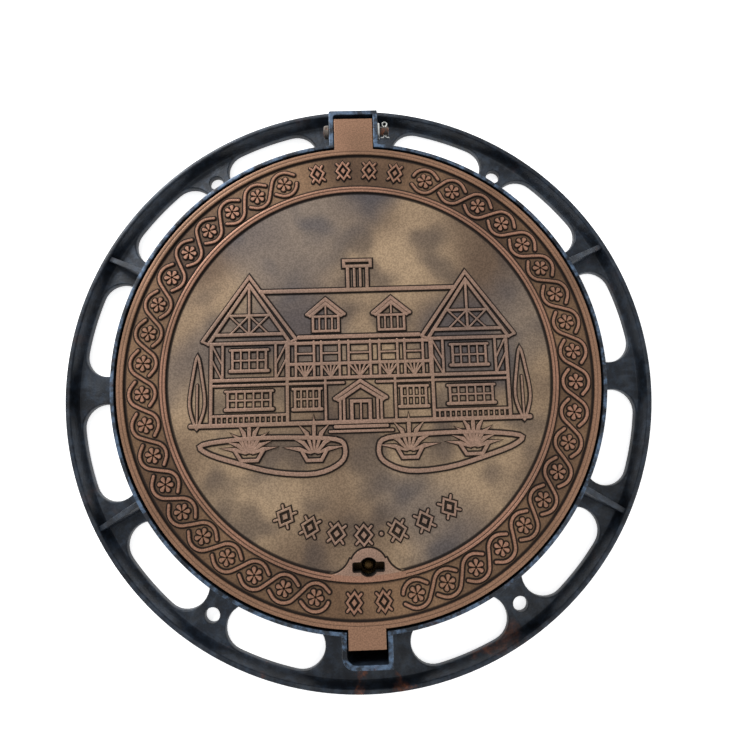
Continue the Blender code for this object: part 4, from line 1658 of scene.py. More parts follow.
    def hall(self) -> None:
        """Draw the hall between the wings: roof, stack, dormers, timbers and windows."""
        half = self.hall_half
        self.rails(-self.wing_middle + 15, self.wing_middle - 15, [self.ridge], self.heavy)
        self.rails(-half + 14, half - 14, [self.eaves + 6], self.heavy)
        self.frame_box(-13, 13, self.ridge, self.ridge + 33, self.medium)
        self.frame_box(-18, 18, self.ridge + 33, self.ridge + 41, self.medium)
        self.rows([-4, 4], self.ridge + 5, self.ridge + 29, self.light)
        for side in (-1, 1):
            self.dormer(side * 44, self.eaves + 14, 25, 44, 3)
            self.rails(side * 22, side * half, [self.jetty - 7], self.light)
            self.rows([side * 46], self.ground, self.jetty, self.light)
            self.window(side * 70 - 16, side * 70 + 16, self.ground + 18, self.jetty - 14, 4, 2)
        posts = self.bays(-half, half, [8, 20, 8, 20, 10, 24, 10, 20, 8, 20, 8])
        self.rows(posts, self.jetty, self.eaves, self.light)
        self.rails(-half, half, [self.jetty, self.jetty + 19, self.eaves - 2], self.medium)
        for bay in (1, 3, 5, 7, 9):
            self.fan(posts[bay], posts[bay + 1], self.jetty + 1, self.jetty + 18, 5)
            self.rails(posts[bay], posts[bay + 1], [self.jetty + 33], self.fine)

    def porch(self) -> None:
        """Draw the porch: its pediment, posts, door and steps."""
        foot = self.jetty - 28
        self.gable((-34, foot), (0, self.jetty - 5), (34, foot), 5.0)
        self.rows([-27, -22, 22, 27], self.ground, foot, self.light)
        self.frame_box(-12, 12, self.ground, foot - 4, self.medium)
        self.rows([0], self.ground, foot - 4, self.fine)
        self.rails(-34, 34, [self.ground - 6], self.medium)
        self.rails(-41, 41, [self.ground - 12], self.light)

    def plant(self, centre: float, foot: float, half: float, blades: int, reach: float) -> None:
        """Draw a spiky plant in a tapered pot."""
        self.book.line([(centre - half - 2, foot + 14), (centre - half * 0.62, foot),
            (centre + half * 0.62, foot), (centre + half + 2, foot + 14)], self.medium)
        for blade in range(blades):
            lean = -76 + 152 * blade / (blades - 1)
            length = reach * (0.82 + 0.18 * math.cos(math.radians(lean * 3)))
            tip = on_bearing(length, lean)
            root = (centre + lean * 0.05, foot + 9)
            bend = (root[0] + tip[0] * 0.42, root[1] + tip[1] * 0.62)
            end = (root[0] + tip[0], root[1] + tip[1] * 0.92)
            side = Vector(tip).orthogonal().normalized() * 3.0
            outline = [(root[0] + side.x * 0.5, root[1] + side.y * 0.5), end,
                (root[0] - side.x * 0.5, root[1] - side.y * 0.5)]
            outline.insert(1, (bend[0] + side.x, bend[1] + side.y))
            outline.insert(3, (bend[0] - side.x, bend[1] - side.y))
            area = sum(outline[k - 1][0] * outline[k][1] - outline[k][0] * outline[k - 1][1]
                for k in range(len(outline)))
            self.book.patch(outline if area > 0 else outline[::-1], self.fine)

    def garden(self) -> None:
        """Draw the ground line, bushes, slim trees, the two lawns and four pots."""
        self.rails(-self.wing_middle - 76, self.wing_middle + 76, [self.ground], self.heavy)
        for side in (-1, 1):
            tree = [(212, self.ground), (204, -34), (208, 2), (214, 30), (220, 2), (224, -34),
                (216, self.ground)]
            lawn = [(206, -86), (150, -80), (92, -80), (34, -84), (22, -96), (28, -114),
                (60, -127), (112, -124), (164, -110), (200, -97)]
            for outline, style in ((tree, self.light), (lawn, self.heavy)):
                self.book.line(flowing([(side * x, y) for x, y in outline], 4), style, closed=True)
            self.rows([side * 214], self.ground, -8, self.fine)
            self.plant(side * 62, -110, 15, 7, 54)
            self.plant(side * 146, -108, 17, 9, 50)

    def draw(self) -> None:
        """Draw the whole picture."""
        for side in (-1, 1):
            self.wing(side)
        self.hall()
        self.porch()
        self.garden()

    def dress(self, shop: Shop, border: Border, material: Finish) -> list[Solid]:
        """Make the picture and the arc of lozenges below it.

        Args:
            shop: The shape maker.
            border: Lends the lozenge.
            material: The finish.

        Returns:
            The picture and the lozenges.
        """
        self.draw()
        picture = self.book.piece("house_relief", material)
        marks = []
        for first, pitch, count in self.arc_marks:
            motif = border.lozenge(self.arc_radius, 10.4, 12.4, material)
            marks.append(shop.around(motif, first, pitch, count, material))
        dot = ReliefBook(self.field_height)
        dot.patch(arc((0.0, self.arc_radius), 2.6, 0, 330, 12), self.light)
        marks.append(shop.around(dot.piece("dot", material), self.arc_dot, 0.0, 1, material))
        return [picture, joined("medallion_lozenges", marks)]


# ---- cover -----------------------------------------------------------------------------------
@dataclass
class Cover:
    """The cover casting: face, rim band, bead, tabs, keyhole boss and the ribs underneath."""

    datums: Datums
    field_height: float = 97.0
    bead_inner: float = 255.5
    bead_outer: float = 264.0
    band_inner: float = 311.0
    band_groove: float = 315.4
    plate_underside: float = 84.0
    foot_underside: float = 62.0
    foot_inner: float = 304.0
    rib_underside: float = 54.0
    rib_half: float = 4.0
    rib_count: int = 8
    ring_rib: float = 191.0
    hub: float = 40.0
    tab_half: float = 27.0
    tab_underside: float = 82.0
    lift_half: float = 23.5
    lift_underside: float = 86.0
    knuckle: float = 11.5
    bush_bore: float = 8.0
    keyhole: float = 11.0
    key_bar: tuple[float, float] = (19.5, 5.4)
    bell_top: float = 2.94
    bell_crown: float = 23.5
    bell_flare: tuple[float, float, float] = (50.0, 20.8, 28.5)
    bell_foot: float = 47.5
    tapped_radius: float = 2.7
    screw_circle: float = 30.5
    steps: int = 192

    def section(self) -> list[SectionPoint]:
        """The turned section from the centre of the face, over the rim and back underneath.

        Returns:
            Points of radius, height and darkening, which is dirt and painted shade.
        """
        face, top = self.field_height, self.datums.height
        bead = top - 0.15
        rim = self.datums.cover_radius
        inner, outer = self.bead_inner, self.bead_outer
        middle = (inner + outer) / 2
        band, groove = self.band_inner, self.band_groove
        under, foot = self.plate_underside, self.foot_underside
        low = self.rib_underside - 2
        rib_in, rib_out = self.ring_rib - self.rib_half, self.ring_rib + self.rib_half
        return [(0.0, face, 0.0), (80.0, face, 0.0), (160.0, face, 0.0), (215.0, face, 0.0),
            (inner - 3.8, face, 0.0), (inner - 2.4, face, 0.85), (inner - 0.4, face + 0.05, 1.0),
            (inner + 0.2, face + 1.3, 0.9), (inner + 0.8, bead - 0.3, 0.15),
            (inner + 1.6, bead, 0.0), (middle - 1.0, bead, 0.0), (middle - 0.5, bead - 0.5, 0.5),
            (middle, bead - 0.7, 0.9), (middle + 0.5, bead - 0.5, 0.5), (middle + 1.0, bead, 0.0),
            (outer - 1.6, bead, 0.0), (outer - 0.8, bead - 0.3, 0.1),
            (outer - 0.2, face + 1.3, 0.8), (outer + 0.4, face + 0.05, 1.0),
            (outer + 2.0, face, 0.7), (outer + 3.2, face, 0.0), (band - 4.4, face, 0.0),
            (band - 2.8, face, 0.85), (band - 0.9, face + 0.05, 1.0),
            (band - 0.3, face + 1.4, 0.9), (band + 0.4, top - 0.25, 0.15), (band + 1.2, top, 0.0),
            (groove - 0.9, top, 0.0), (groove - 0.45, top - 0.35, 0.3), (groove, top - 0.5, 0.6),
            (groove + 0.45, top - 0.35, 0.3), (groove + 0.9, top, 0.0), (rim - 1.3, top, 0.0),
            (rim - 0.4, top - 0.35, 0.15), (rim, top - 1.2, 0.55), (rim, top - 5, 0.9),
            (rim, foot + 1.0, 0.3), (rim - 1.0, foot, 0.0), (self.foot_inner + 1.0, foot, 0.0),
            (self.foot_inner, foot + 1.0, 0.1), (self.foot_inner - 1.4, under - 4, 0.3),
            (self.foot_inner - 5.0, under, 0.5), (self.foot_inner - 12, under, 0.0),
            (rib_out + 8, under, 0.0), (rib_out + 3, under, 0.5), (rib_out + 1.0, under - 3, 0.2),
            (rib_out, low + 1, 0.0), (rib_out - 1, low, 0.0), (rib_in + 1, low, 0.0),
            (rib_in, low + 1, 0.0), (rib_in - 1.0, under - 3, 0.2), (rib_in - 3, under, 0.5),
            (rib_in - 8, under, 0.0), (self.hub + 8, under, 0.0), (self.hub + 3, under, 0.5),
            (self.hub + 1, under - 3, 0.2), (self.hub, low + 1.4, 0.0),
            (self.hub - 1.4, low, 0.0), (0.0, low, 0.0)]

    def hinge_tab(self) -> Solid:
        """The hinge tab with its knuckle, as one bevelled solid with the bush's bore.

        Returns:
            The tab.
        """
        pivot_y, pivot_z = self.datums.pivot
        end, top = self.datums.hinge_tab_end, self.datums.height
        drop = pivot_z - self.tab_underside
        start = math.degrees(math.asin(drop / self.knuckle))
        outline = [(self.band_groove + 2.6, self.tab_underside)]
        outline += arc((pivot_y, pivot_z), self.knuckle, 180 + start, 360, 14)
        outline += [(end, pivot_z), (end, top), (self.band_groove + 2.6, top)]
        tab = lofted("hinge_tab", [(outline, -self.tab_half), (outline, self.tab_half)])
        moved(tab, STOOD_ON_EDGE)
        bevelled(tab, 0.7)
        bore = rod("bush_bore", self.bush_bore, -self.tab_half - 2, self.tab_half + 2, 48)
        return carved(tab, [laid_on_hinge(bore, self.datums)])

    def lift_tab(self) -> Solid:
        """The lifting tab opposite the hinge.

        Returns:
            The tab.
        """
        half = self.lift_half
        tab = block("lift_tab", (-half, -self.datums.lift_tab_end, self.lift_underside),
            (half, -self.band_groove - 2.4, self.datums.height))
        return bevelled(tab, 0.7)

    def bell_plan(self) -> list[Point]:
        """Plan of the boss round the keyhole, round the lock's axis, counter-clockwise.

        Returns:
            The outline.
        """
        crown = arc((0.0, 0.0), self.bell_crown, 26, 154, 15)
        flare_x, flare_y, flare = self.bell_flare
        left = arc((-flare_x, flare_y), flare, -21, -85, 9)
        lock_x, lock_y = self.datums.lock
        foot = []
        for step in range(13):
            x = -self.bell_foot + 2 * self.bell_foot * step / 12
            foot.append((x, -lock_y - math.sqrt((self.bead_outer - 0.4) ** 2 - (x + lock_x) ** 2)))
        return crown + left + foot + [(-x, y) for x, y in left[::-1]]

    def keyhole_plan(self, extra: float = 0.0) -> list[Point]:
        """Plan of the keyhole, a round hole crossed by a bar, round the lock's axis.

        Args:
            extra: Margin that the outline grows by.

        Returns:
            The outline, counter-clockwise.
        """
        length, width = self.key_bar
        edge = math.degrees(math.asin(width / self.keyhole))
        upper = arc((0.0, 0.0), self.keyhole, edge, 180 - edge, 13)
        lower = arc((0.0, 0.0), self.keyhole, 180 + edge, 360 - edge, 13)
        corner = 1.6
        left = arc((-length + corner, width - corner), corner, 90, 180, 4)
        left += arc((-length + corner, -width + corner), corner, 180, 270, 4)
        right = [(-x, -y) for x, y in left]
        return grown(upper + left + lower + right, extra)

    def key_cutter(self) -> Solid:
        """The tool that cuts the keyhole, flared at its top edge.

        Returns:
            The tool.
        """
        top = self.datums.height
        levels = ((70.0, 0.0), (self.field_height + 1.4, 0.0), (self.field_height + 2.1, 0.35),
            (self.field_height + 2.7, 1.1), (top + 3, 1.1))
        cutter = lofted("key_cutter", [(self.keyhole_plan(more), z) for z, more in levels])
        return shifted(cutter, *self.datums.lock)

    def build_face(self, shop: Shop) -> Solid:
        """Make the turned body with its tabs, its keyhole and its tapped holes.

        Args:
            shop: The shape maker.

        Returns:
            The solid without its finish.
        """
        body = shop.turned("cover_body", self.section(), self.steps, closed=False)
        carved(body, [self.hinge_tab(), self.lift_tab()], "UNION")
        lock_x, lock_y = self.datums.lock
        holes = []
        for number in range(4):
            angle = math.radians(45 + 90 * number)
            hole = rod("tapped", self.tapped_radius, 70, 93, 16)
            holes.append(shifted(hole, lock_x + self.screw_circle * math.cos(angle),
                lock_y + self.screw_circle * math.sin(angle)))
        carved(body, [self.key_cutter(), joined("tapped_holes", holes)])
        return body

    def build_bell(self, material: Finish) -> Solid:
        """Make the raised boss round the keyhole, with a bead along its outline.

        Args:
            material: The finish.

        Returns:
            The boss.
        """
        book = ReliefBook(self.field_height)
        book.patch(self.bell_plan(), ReliefLine(width=4, height=self.bell_top, skirt=2.2))
        bell = shifted(book.piece("bell", material), *self.datums.lock)
        carved(bell, [self.key_cutter()])
        soil_and_shade(bell, self.bell_grime_and_shade)
        return bell

    def bell_grime_and_shade(self, point: Vector) -> float:
        """Dirt and painted shade of the boss: dark along its foot and down the keyhole's walls,
        where shade falls.

        Args:
            point: The place, in millimetres.

        Returns:
            The dirt and painted shade, 0 to 1.
        """
        lock_x, lock_y = self.datums.lock
        rise = point.z - self.field_height
        in_hole = abs(point.x - lock_x) < 21.5 and abs(point.y - lock_y) < 12.5
        over_bead = self.bead_inner - 0.6 < math.hypot(point.x, point.y) < self.bead_outer - 1.4
        if (rise > 2.4 or over_bead) and not in_hole:
            return 0.0
        if in_hole:
            return 0.15 if rise > 2.8 else 0.95
        return 1.0 if rise > 0.05 else 0.3

    def build_ribs(self, shop: Shop, material: Finish) -> Solid:
        """Make the radial ribs that stiffen the plate underneath.

        Args:
            shop: The shape maker.
            material: The finish.

        Returns:
            The ribs.
        """
        foot = self.foot_inner + 3
        outline = [(self.hub - 4, self.rib_underside), (foot - 22, self.rib_underside),
            (foot, self.foot_underside + 10), (foot, self.plate_underside + 5),
            (self.hub - 4, self.plate_underside + 5)]
        rib = lofted("radial_rib", [(outline, -self.rib_half), (outline, self.rib_half)])
        bevelled(moved(rib, STOOD_ON_EDGE), 1.6, 3)
        step = 360 / self.rib_count
        return shop.around(rib, step / 2, step, self.rib_count, material)

    def grime_and_shade_rule(self, point: Vector) -> float:
        """Dirt and painted shade of the cover's solid after its cuts: the section's own, and dark
        painted shade on the keyhole's cut walls and on the rim's side in the gap to the frame.

        Args:
            point: The place, in millimetres.

        Returns:
            The dirt and painted shade, 0 to 1.
        """
        reach = math.hypot(point.x, point.y)
        value = section_dirt_and_shade(self.section(), point, 0.35)
        lock_x, lock_y = self.datums.lock
        near_lock = math.hypot(point.x - lock_x, point.y - lock_y) < 24
        if near_lock and self.plate_underside - 1 < point.z < self.field_height - 0.5:
            return 1.0
        if value is not None:
            return value
        return 0.5 if self.datums.height - 7 > point.z > 70 and reach > 318 else 0.0

    def build(self, shop: Shop, finishes: Finishes) -> Solid:
        """Make the dressed casting.

        Args:
            shop: The shape maker.
            finishes: The materials.

        Returns:
            The cover casting as one object.
        """
        body = self.build_face(shop)
        soil_and_shade(body, self.grime_and_shade_rule)
        dress_by_height(body, finishes.copper, finishes.underside, self.field_height - 3)
        ribs = self.build_ribs(shop, finishes.underside)
        return smoothed(joined("cover_face_and_ribs", [body, self.build_bell(finishes.copper),
            ribs]))


def rod(name: str, radius: float, low: float, high: float, sides: int) -> Solid:
    """A round bar along Z, used for cutters."""
    outline = arc((0.0, 0.0), radius, 0, 360 - 360 / sides, sides)
    return lofted(name, [(outline, low), (outline, high)])


def dress_by_height(piece: Solid, upper: Finish, lower: Finish, height: float) -> None:
    """Give a solid one finish above a height and another below it.

    Args:
        piece: The piece.
        upper: Finish above the height.
        lower: Finish below it and underneath.
        height: The height, in millimetres.
    """
    piece.data.materials.clear()
    piece.data.materials.append(upper)
    piece.data.materials.append(lower)
    for polygon in piece.data.polygons:
        lying = polygon.center.z / MM < height or polygon.normal.z < -0.5
        polygon.material_index = 1 if lying else 0


def dressed(piece: Solid, material: Finish) -> Solid:
    """Give a piece one finish.

    Args:
        piece: The piece.
        material: The finish.

    Returns:
        The piece.
    """
    piece.data.materials.clear()
    piece.data.materials.append(material)
    for polygon in piece.data.polygons:
        polygon.material_index = 0
    return piece


# ---- anchor frame ----------------------------------------------------------------------------
@dataclass(frozen=True)
class Pocket:
    """A pocket in the frame's wall, made on the +Y side and mirrored where side is -1."""

    name: str
    side: int
    half: float
    end: float
    sill: float
    corner: float
    rounded: bool
    wall: float = 6.2
    deep_start: float = 334.0
    floor: tuple[float, float] = (34.0, 40.0)

    def cavity(self, extra: float = 0.0) -> list[Point]:
        """Plan of the inner wall from its east root, with its cut or rounded far west corner.

        Args:
            extra: Margin that the outline grows by.

        Returns:
            The wall as an open string of points.
        """
        half, end = self.half + extra, self.end + extra
        size = self.corner + extra
        steps = 7 if self.rounded else 2
        corner = arc((-half + size, end - size), size, 90, 180, steps)
        return [(half, 0.0), (half, end)] + corner + [(-half, 0.0)]


@dataclass
class AnchorFrame:
    """The frame casting: flange with slots, lip, throat, ledge, pockets and gussets."""

    datums: Datums
    gap: float = 3.0
    throat_wall: float = 5.0
    flange: float = 12.0
    lip_width: float = 8.0
    lip_foot: float = 6.0
    lip_height: float = 28.0
    ledge_top: float = 60.0
    ledge_underside: float = 46.0
    clear_radius: float = 300.0
    groove: tuple[float, float, float] = (306.0, 316.0, 55.0)
    slot_radii: tuple[float, float] = (345.0, 408.5)
    slot_span: float = 21.7
    slot_first: float = 20.0
    slot_pitch: float = 28.0
    slots_per_side: int = 6
    bolt_circle: float = 385.7
    bolt_radius: float = 10.5
    bolt_first: float = 34.0
    bolt_pitch: float = 112.0
    gusset_first: float = 62.0
    gusset_pitch: float = 56.0
    gusset_half: float = 4.0
    gusset_top: float = 72.0
    pin_bore: float = 6.3
    steps: int = 192

    def section(self) -> list[SectionPoint]:
        """The turned section, round from the rim's top and down its outside.

        Returns:
            Points of radius, height and darkening, which is dirt and painted shade.
        """
        top, outer = self.datums.height, self.datums.frame_radius
        throat = self.datums.cover_radius + self.gap
        wall = throat + self.throat_wall
        lip = outer - self.lip_width
        flange, under = self.flange, self.ledge_underside
        inner, groove_outer, floor = self.groove
        return [(wall - 1.0, top, 0.0), (wall - 0.3, top - 0.4, 0.0), (wall, top - 1.2, 0.0),
            (wall + 2.6, flange + 9, 0.1), (wall + 4.0, flange + 3.6, 0.3),
            (wall + 6.8, flange + 0.8, 0.3), (wall + 10, flange, 0.0),
            (lip - self.lip_foot - 1.5, flange, 0.1), (lip - self.lip_foot, flange + 0.5, 0.25),
            (lip - 3.4, flange + 4, 0.3), (lip - 1.0, flange + 9, 0.2),
            (lip + 0.2, self.lip_height - 2.4, 0.0), (lip + 1.2, self.lip_height - 0.6, 0.0),
            (lip + 2.6, self.lip_height, 0.0), (outer - 3, self.lip_height, 0.0),
            (outer - 1, self.lip_height - 0.8, 0.0), (outer, self.lip_height - 3, 0.0),
            (outer, 1.2, 0.1), (outer - 1.2, 0.0, 0.2), (throat + 1.2, 0.0, 0.2),
            (throat, 1.2, 0.2), (throat, under - 9, 0.2), (throat - 2, under - 3, 0.3),
            (throat - 9, under, 0.2), (self.clear_radius + 1, under, 0.1),
            (self.clear_radius, under + 1, 0.0), (self.clear_radius, self.ledge_top - 1, 0.0),
            (self.clear_radius + 1, self.ledge_top, 0.0), (inner, self.ledge_top, 0.2),
            (inner, floor, 0.8), (groove_outer, floor, 0.8), (groove_outer, self.ledge_top, 0.5),
            (throat - 1.5, self.ledge_top, 0.8), (throat, self.ledge_top + 1.5, 0.8),
            (throat, top - 6, 0.85), (throat, top - 1.2, 0.3), (throat + 0.3, top - 0.4, 0.0),
            (throat + 1.0, top, 0.0)]

    def slot_plan(self, extra: float) -> list[Point]:
        """Plan of one anchor slot at bearing zero, grown by a margin.

        Args:
            extra: Margin that the outline grows by.

        Returns:
            The outline.
        """
        inner, outer = self.slot_radii
        middle = (inner + outer) / 2
        end = (outer - inner) / 2
        half = self.slot_span / 2 - math.degrees(math.asin(end / middle))
        outline = arc((0.0, 0.0), outer + extra, 90 - half, 90 + half, 12)
        west, east = on_bearing(middle, -half), on_bearing(middle, half)
        outline += arc(west, end + extra, 90 + half, 270 + half, 17)[1:-1]
        outline += arc((0.0, 0.0), inner - extra, 90 + half, 90 - half, 12)
        outline += arc(east, end + extra, -90 - half, 90 - half, 17)[1:-1]
        return outline

    def slot_cutter(self) -> Solid:
        """The tool for one slot, flared where it leaves each face of the flange.

        Returns:
            The tool.
        """
        flange = self.flange
        levels = ((-2, 1.6), (0.2, 1.4), (1.2, 0.4), (2.2, 0.0), (flange - 3.4, 0.0),
            (flange - 1.6, 0.4), (flange - 0.5, 1.2), (flange + 0.3, 2.2), (flange + 12, 2.2))
        return lofted("slot_cutter", [(self.slot_plan(more), z) for z, more in levels])

    def bolt_cutter(self) -> Solid:
        """The tool for one bolt hole.

        Returns:
            The tool.
        """
        flange = self.flange
        levels = ((-2, 0.8), (0.3, 0.6), (1.2, 0.0), (flange - 1.6, 0.0), (flange - 0.3, 0.9),
            (flange + 8, 1.2))
        outlines = []
        for z, more in levels:
            ring = arc((0.0, self.bolt_circle), self.bolt_radius + more, 0, 345, 24)
            outlines.append((ring, z))
        return lofted("bolt_cutter", outlines)

    def gusset(self) -> Solid:
        """One tapered web from the throat to the lip, at bearing zero.

        Returns:
            The web.
        """
        wall = self.datums.cover_radius + self.gap + self.throat_wall
        lip = self.datums.frame_radius - self.lip_width
        outline = [(wall - 4, 5), (lip + 5, 5), (lip + 5, self.lip_height - 5),
            (wall - 4, self.gusset_top)]
        web = lofted("gusset", [(outline, -self.gusset_half), (outline, self.gusset_half)])
        return bevelled(moved(web, STOOD_ON_EDGE), 1.4, 3)

    def pockets(self) -> list[Pocket]:
        """The hinge pocket and the lifting pocket."""
        return [Pocket("hinge_pocket", 1, 28.0, 371.5, self.ledge_top + 2, 2.0, False),
            Pocket("lift_pocket", -1, 25.5, 361.0, 80.0, 12.0, True)]

    def pocket_cutter(self, pocket: Pocket) -> Solid:
        """The tool that opens the throat wall into a pocket.

        Args:
            pocket: The pocket.

        Returns:
            The tool.
        """
        inner = self.datums.cover_radius - 4
        tool = block(pocket.name + "_entry", (-pocket.half - 0.05, inner, pocket.sill),
            (pocket.half + 0.05, pocket.deep_start + 6, self.datums.height + 5))
        return self.on_side(tool, pocket)

    def on_side(self, piece: Solid, pocket: Pocket) -> Solid:
        """Mirror a piece of a pocket to the pocket's own side."""
        if pocket.side < 0:
            moved(piece, Matrix.Diagonal((1.0, -1.0, 1.0, 1.0)))
        return piece

    def pocket_walls(self, pocket: Pocket) -> Solid:
        """The walls, the floor and the sill of a pocket.

        Args:
            pocket: The pocket.

        Returns:
            The walls, floor and sill as one object.
        """
        root = self.datums.cover_radius + self.gap + 1.6
        half, outer = pocket.half, pocket.half + pocket.wall
        inner = [(x, max(y, root)) for x, y in pocket.cavity()]
        end = pocket.end + pocket.wall
        steps = 7 if pocket.rounded else 2
        size = pocket.corner + pocket.wall * 0.7 if pocket.rounded else 1.4
        outside = arc((-outer + size, end - size), size, 180, 90, steps)
        plan = inner + [(-outer, root)] + outside + [(outer, end), (outer, root)]
        plan = plan[::-1]
        top = self.datums.height - 0.05
        walls = lofted(pocket.name, [(plan, 4.0), (plan, top)])
        bevelled(walls, 0.9)
        if pocket.side > 0:
            bore = rod("pin_bore", self.pin_bore, -60, 60, 32)
            carved(walls, [laid_on_hinge(bore, self.datums)])
        low, high = pocket.floor
        floor = block(pocket.name + "_floor", (-half - 1, pocket.deep_start - 2, low),
            (half + 1, pocket.end + 1, high))
        sill = block(pocket.name + "_sill", (-half - 1, root + 1, 5.0),
            (half + 1, pocket.deep_start, pocket.sill))
        return self.on_side(joined(pocket.name, [walls, floor, bevelled(sill, 0.8)]), pocket)

    def grime_and_shade_rule(self, point: Vector) -> float:
        """Dirt and painted shade of the frame's solid after its cuts."""
        return section_dirt_and_shade(self.section(), point, 0.4) or 0.0

    def pocket_dirt_and_shade(self, point: Vector) -> float:
        """Dirt and painted shade inside the pockets: black deep down, clean along the top.

        Args:
            point: The place, in millimetres.

        Returns:
            The dirt and painted shade, 0 to 1.
        """
        depth = self.datums.height - point.z
        inside = abs(point.x) < 28.6 and abs(point.y) < 372
        return min(0.92, depth / 22) if inside else 0.0

    def build(self, shop: Shop, finishes: Finishes) -> Solid:
        """Make the dressed frame.

        Args:
            shop: The shape maker.
            finishes: The materials.

        Returns:
            The frame casting as one object.
        """
        body = shop.turned("frame_body", self.section(), self.steps)
        cutters = shop.both_sides(self.slot_cutter, self.slot_first, self.slot_pitch,
            self.slots_per_side)
        cutters += shop.both_sides(self.bolt_cutter, self.bolt_first, self.bolt_pitch, 2)
        cutters += [self.pocket_cutter(pocket) for pocket in self.pockets()]
        carved(body, [joined("frame_cutters", cutters)])
        soil_and_shade(body, self.grime_and_shade_rule)
        walls = joined("pockets", [self.pocket_walls(pocket) for pocket in self.pockets()])
        soil_and_shade(walls, self.pocket_dirt_and_shade)
        webs = shop.both_sides(self.gusset, self.gusset_first, self.gusset_pitch, 2)
        parts = [dressed(part, finishes.coated) for part in [body, walls] + webs]
        return smoothed(joined("slotted_frame", parts))


# ---- seal, hinge and lock ----------------------------------------------------------------------
@dataclass
class Seal:
    """The rubber ring in the ledge's groove, with two soft lips."""

    steps: int = 160

    def build(self, shop: Shop, finishes: Finishes) -> Solid:
        """Make the seal from the box of its node.

        Args:
            shop: The shape maker.
            finishes: The materials.

        Returns:
            The seal.
        """
        low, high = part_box("seat_gasket")
        outer, bottom, top = high.x / MM, low.z / MM, high.z / MM
        inner = outer - 9.4
        middle = (inner + outer) / 2
        # Third values: dirt and painted shade on the seal's sides, foot and middle groove.
        section = [(outer - 1.2, top, 0.0), (outer - 0.3, top - 0.5, 0.0), (outer, top - 1.6, 0.2),
            (outer, bottom + 0.6, 0.3), (outer - 0.6, bottom, 0.4), (inner + 0.6, bottom, 0.4),
            (inner, bottom + 0.6, 0.3), (inner, top - 1.6, 0.2), (inner + 0.3, top - 0.5, 0.0),
            (inner + 1.2, top, 0.0), (inner + 2.6, top, 0.1), (middle - 0.9, top - 1.2, 0.5),
            (middle + 0.9, top - 1.2, 0.5), (outer - 2.6, top, 0.1)]
        return smoothed(shop.turned("lipped_seal", section, self.steps, finishes.rubber))


@dataclass
class Hinge:
    """The pin with its head, its washer and split pin, and the bush in the cover."""

    datums: Datums
    pin_radius: float = 6.0
    head_radius: float = 9.0
    pocket_outer: float = 34.2
    touch: float = 0.3
    head_length: float = 8.0
    split_x: float = 44.8
    washer_radius: float = 11.0
    washer_thickness: float = 2.5
    bush_radius: float = 7.7
    wire: float = 0.9

    def pin(self, shop: Shop, finishes: Finishes) -> Solid:
        """The pin, with a domed head at the west and a drilled, chamfered east end.

        Args:
            shop: The shape maker.
            finishes: The materials.

        Returns:
            The pin.
        """
        radius, head = self.pin_radius, self.head_radius
        tip = self.split_x + 5.5
        face = -(self.pocket_outer + self.touch)
        end = face - self.head_length
        # Third values: dirt and painted shade, darkest in the corner at the root of the head.
        section = [(0.0, tip, 0.0), (radius - 1.4, tip, 0.0), (radius - 0.4, tip - 0.5, 0.0),
            (radius, tip - 1.5, 0.0), (radius, face + 0.6, 0.4), (radius + 0.5, face, 0.9),
            (head - 0.7, face, 0.3), (head, face - 0.7, 0.0), (head, end + 3.0, 0.0),
            (head - 0.6, end + 1.4, 0.0), (head - 2.0, end + 0.4, 0.0), (head - 4.2, end, 0.0),
            (0.0, end, 0.0)]
        pin = shop.turned("headed_pin", section, 64, closed=False)
        hole = rod("split_hole", 2.3, -12, 12, 20)
        moved(hole, Matrix.Rotation(math.pi / 2, 4, "X"))
        carved(pin, [shifted(hole, 0, 0, self.split_x)])
        return smoothed(dressed(laid_on_hinge(pin, self.datums), finishes.dark_steel))

    def ring(self, shop: Shop, name: str, inner: float, outer: float, low: float, high: float,
            material: Finish) -> Solid:
        """A flat ring with eased edges, laid on the hinge line."""
        piece = shop.turned(name, ring_section(inner, outer, low, high), 64, material)
        return smoothed(laid_on_hinge(piece, self.datums))

    def split_pin(self, finishes: Finishes) -> Solid:
        """The split pin: an eye, two legs and their tips bent apart.

        Args:
            finishes: The materials.

        Returns:
            The split pin.
        """
        spread, eye, leg_end = 1.15, 3.2, -8.5
        eye_centre = 7.8 + eye * 0.95
        opening = math.degrees(math.asin(spread / eye))
        loop = arc((0.0, eye_centre), eye, -90 + opening, 270 - opening, 22)
        route = [(spread + 4.6, leg_end - 1.2), (spread + 3.2, leg_end - 1.1),
            (spread + 1.4, leg_end - 0.5), (spread + 0.3, leg_end + 0.6), (spread, leg_end + 2)]
        route += loop + [(-x, y) for x, y in route[::-1]]
        place = [Vector((self.split_x + x, self.datums.pivot[0] + y, self.datums.pivot[1])) for x,
            y in route]
        return wire_along("split_pin", place, self.wire, 10, finishes.zinc)

    def build(self, shop: Shop, finishes: Finishes) -> dict[str, Solid]:
        """Make all the hinge pieces, keyed by the node that each stands for."""
        washer_low = self.pocket_outer + self.touch
        return {"hinge_pin": self.pin(shop, finishes), "hinge_pin_washer": self.ring(
            shop, "pin_washer", self.pin_radius + self.touch, self.washer_radius, washer_low,
            washer_low + self.washer_thickness, finishes.zinc), "hinge_split_pin": self.split_pin(
            finishes), "hinge_bush": self.ring(shop, "brass_bush", self.pin_radius + self.touch,
            self.bush_radius, -26.5, 26.5, finishes.brass)}


def ring_section(inner: float, outer: float, low: float, high: float, ease: float = 0.3) -> list[
        Point]:
    """Section of a flat ring with eased edges."""
    return [(outer - ease, high), (outer, high - ease), (outer, low + ease), (outer - ease, low),
        (inner + ease, low), (inner, low + ease), (inner, high - ease), (inner + ease, high)]


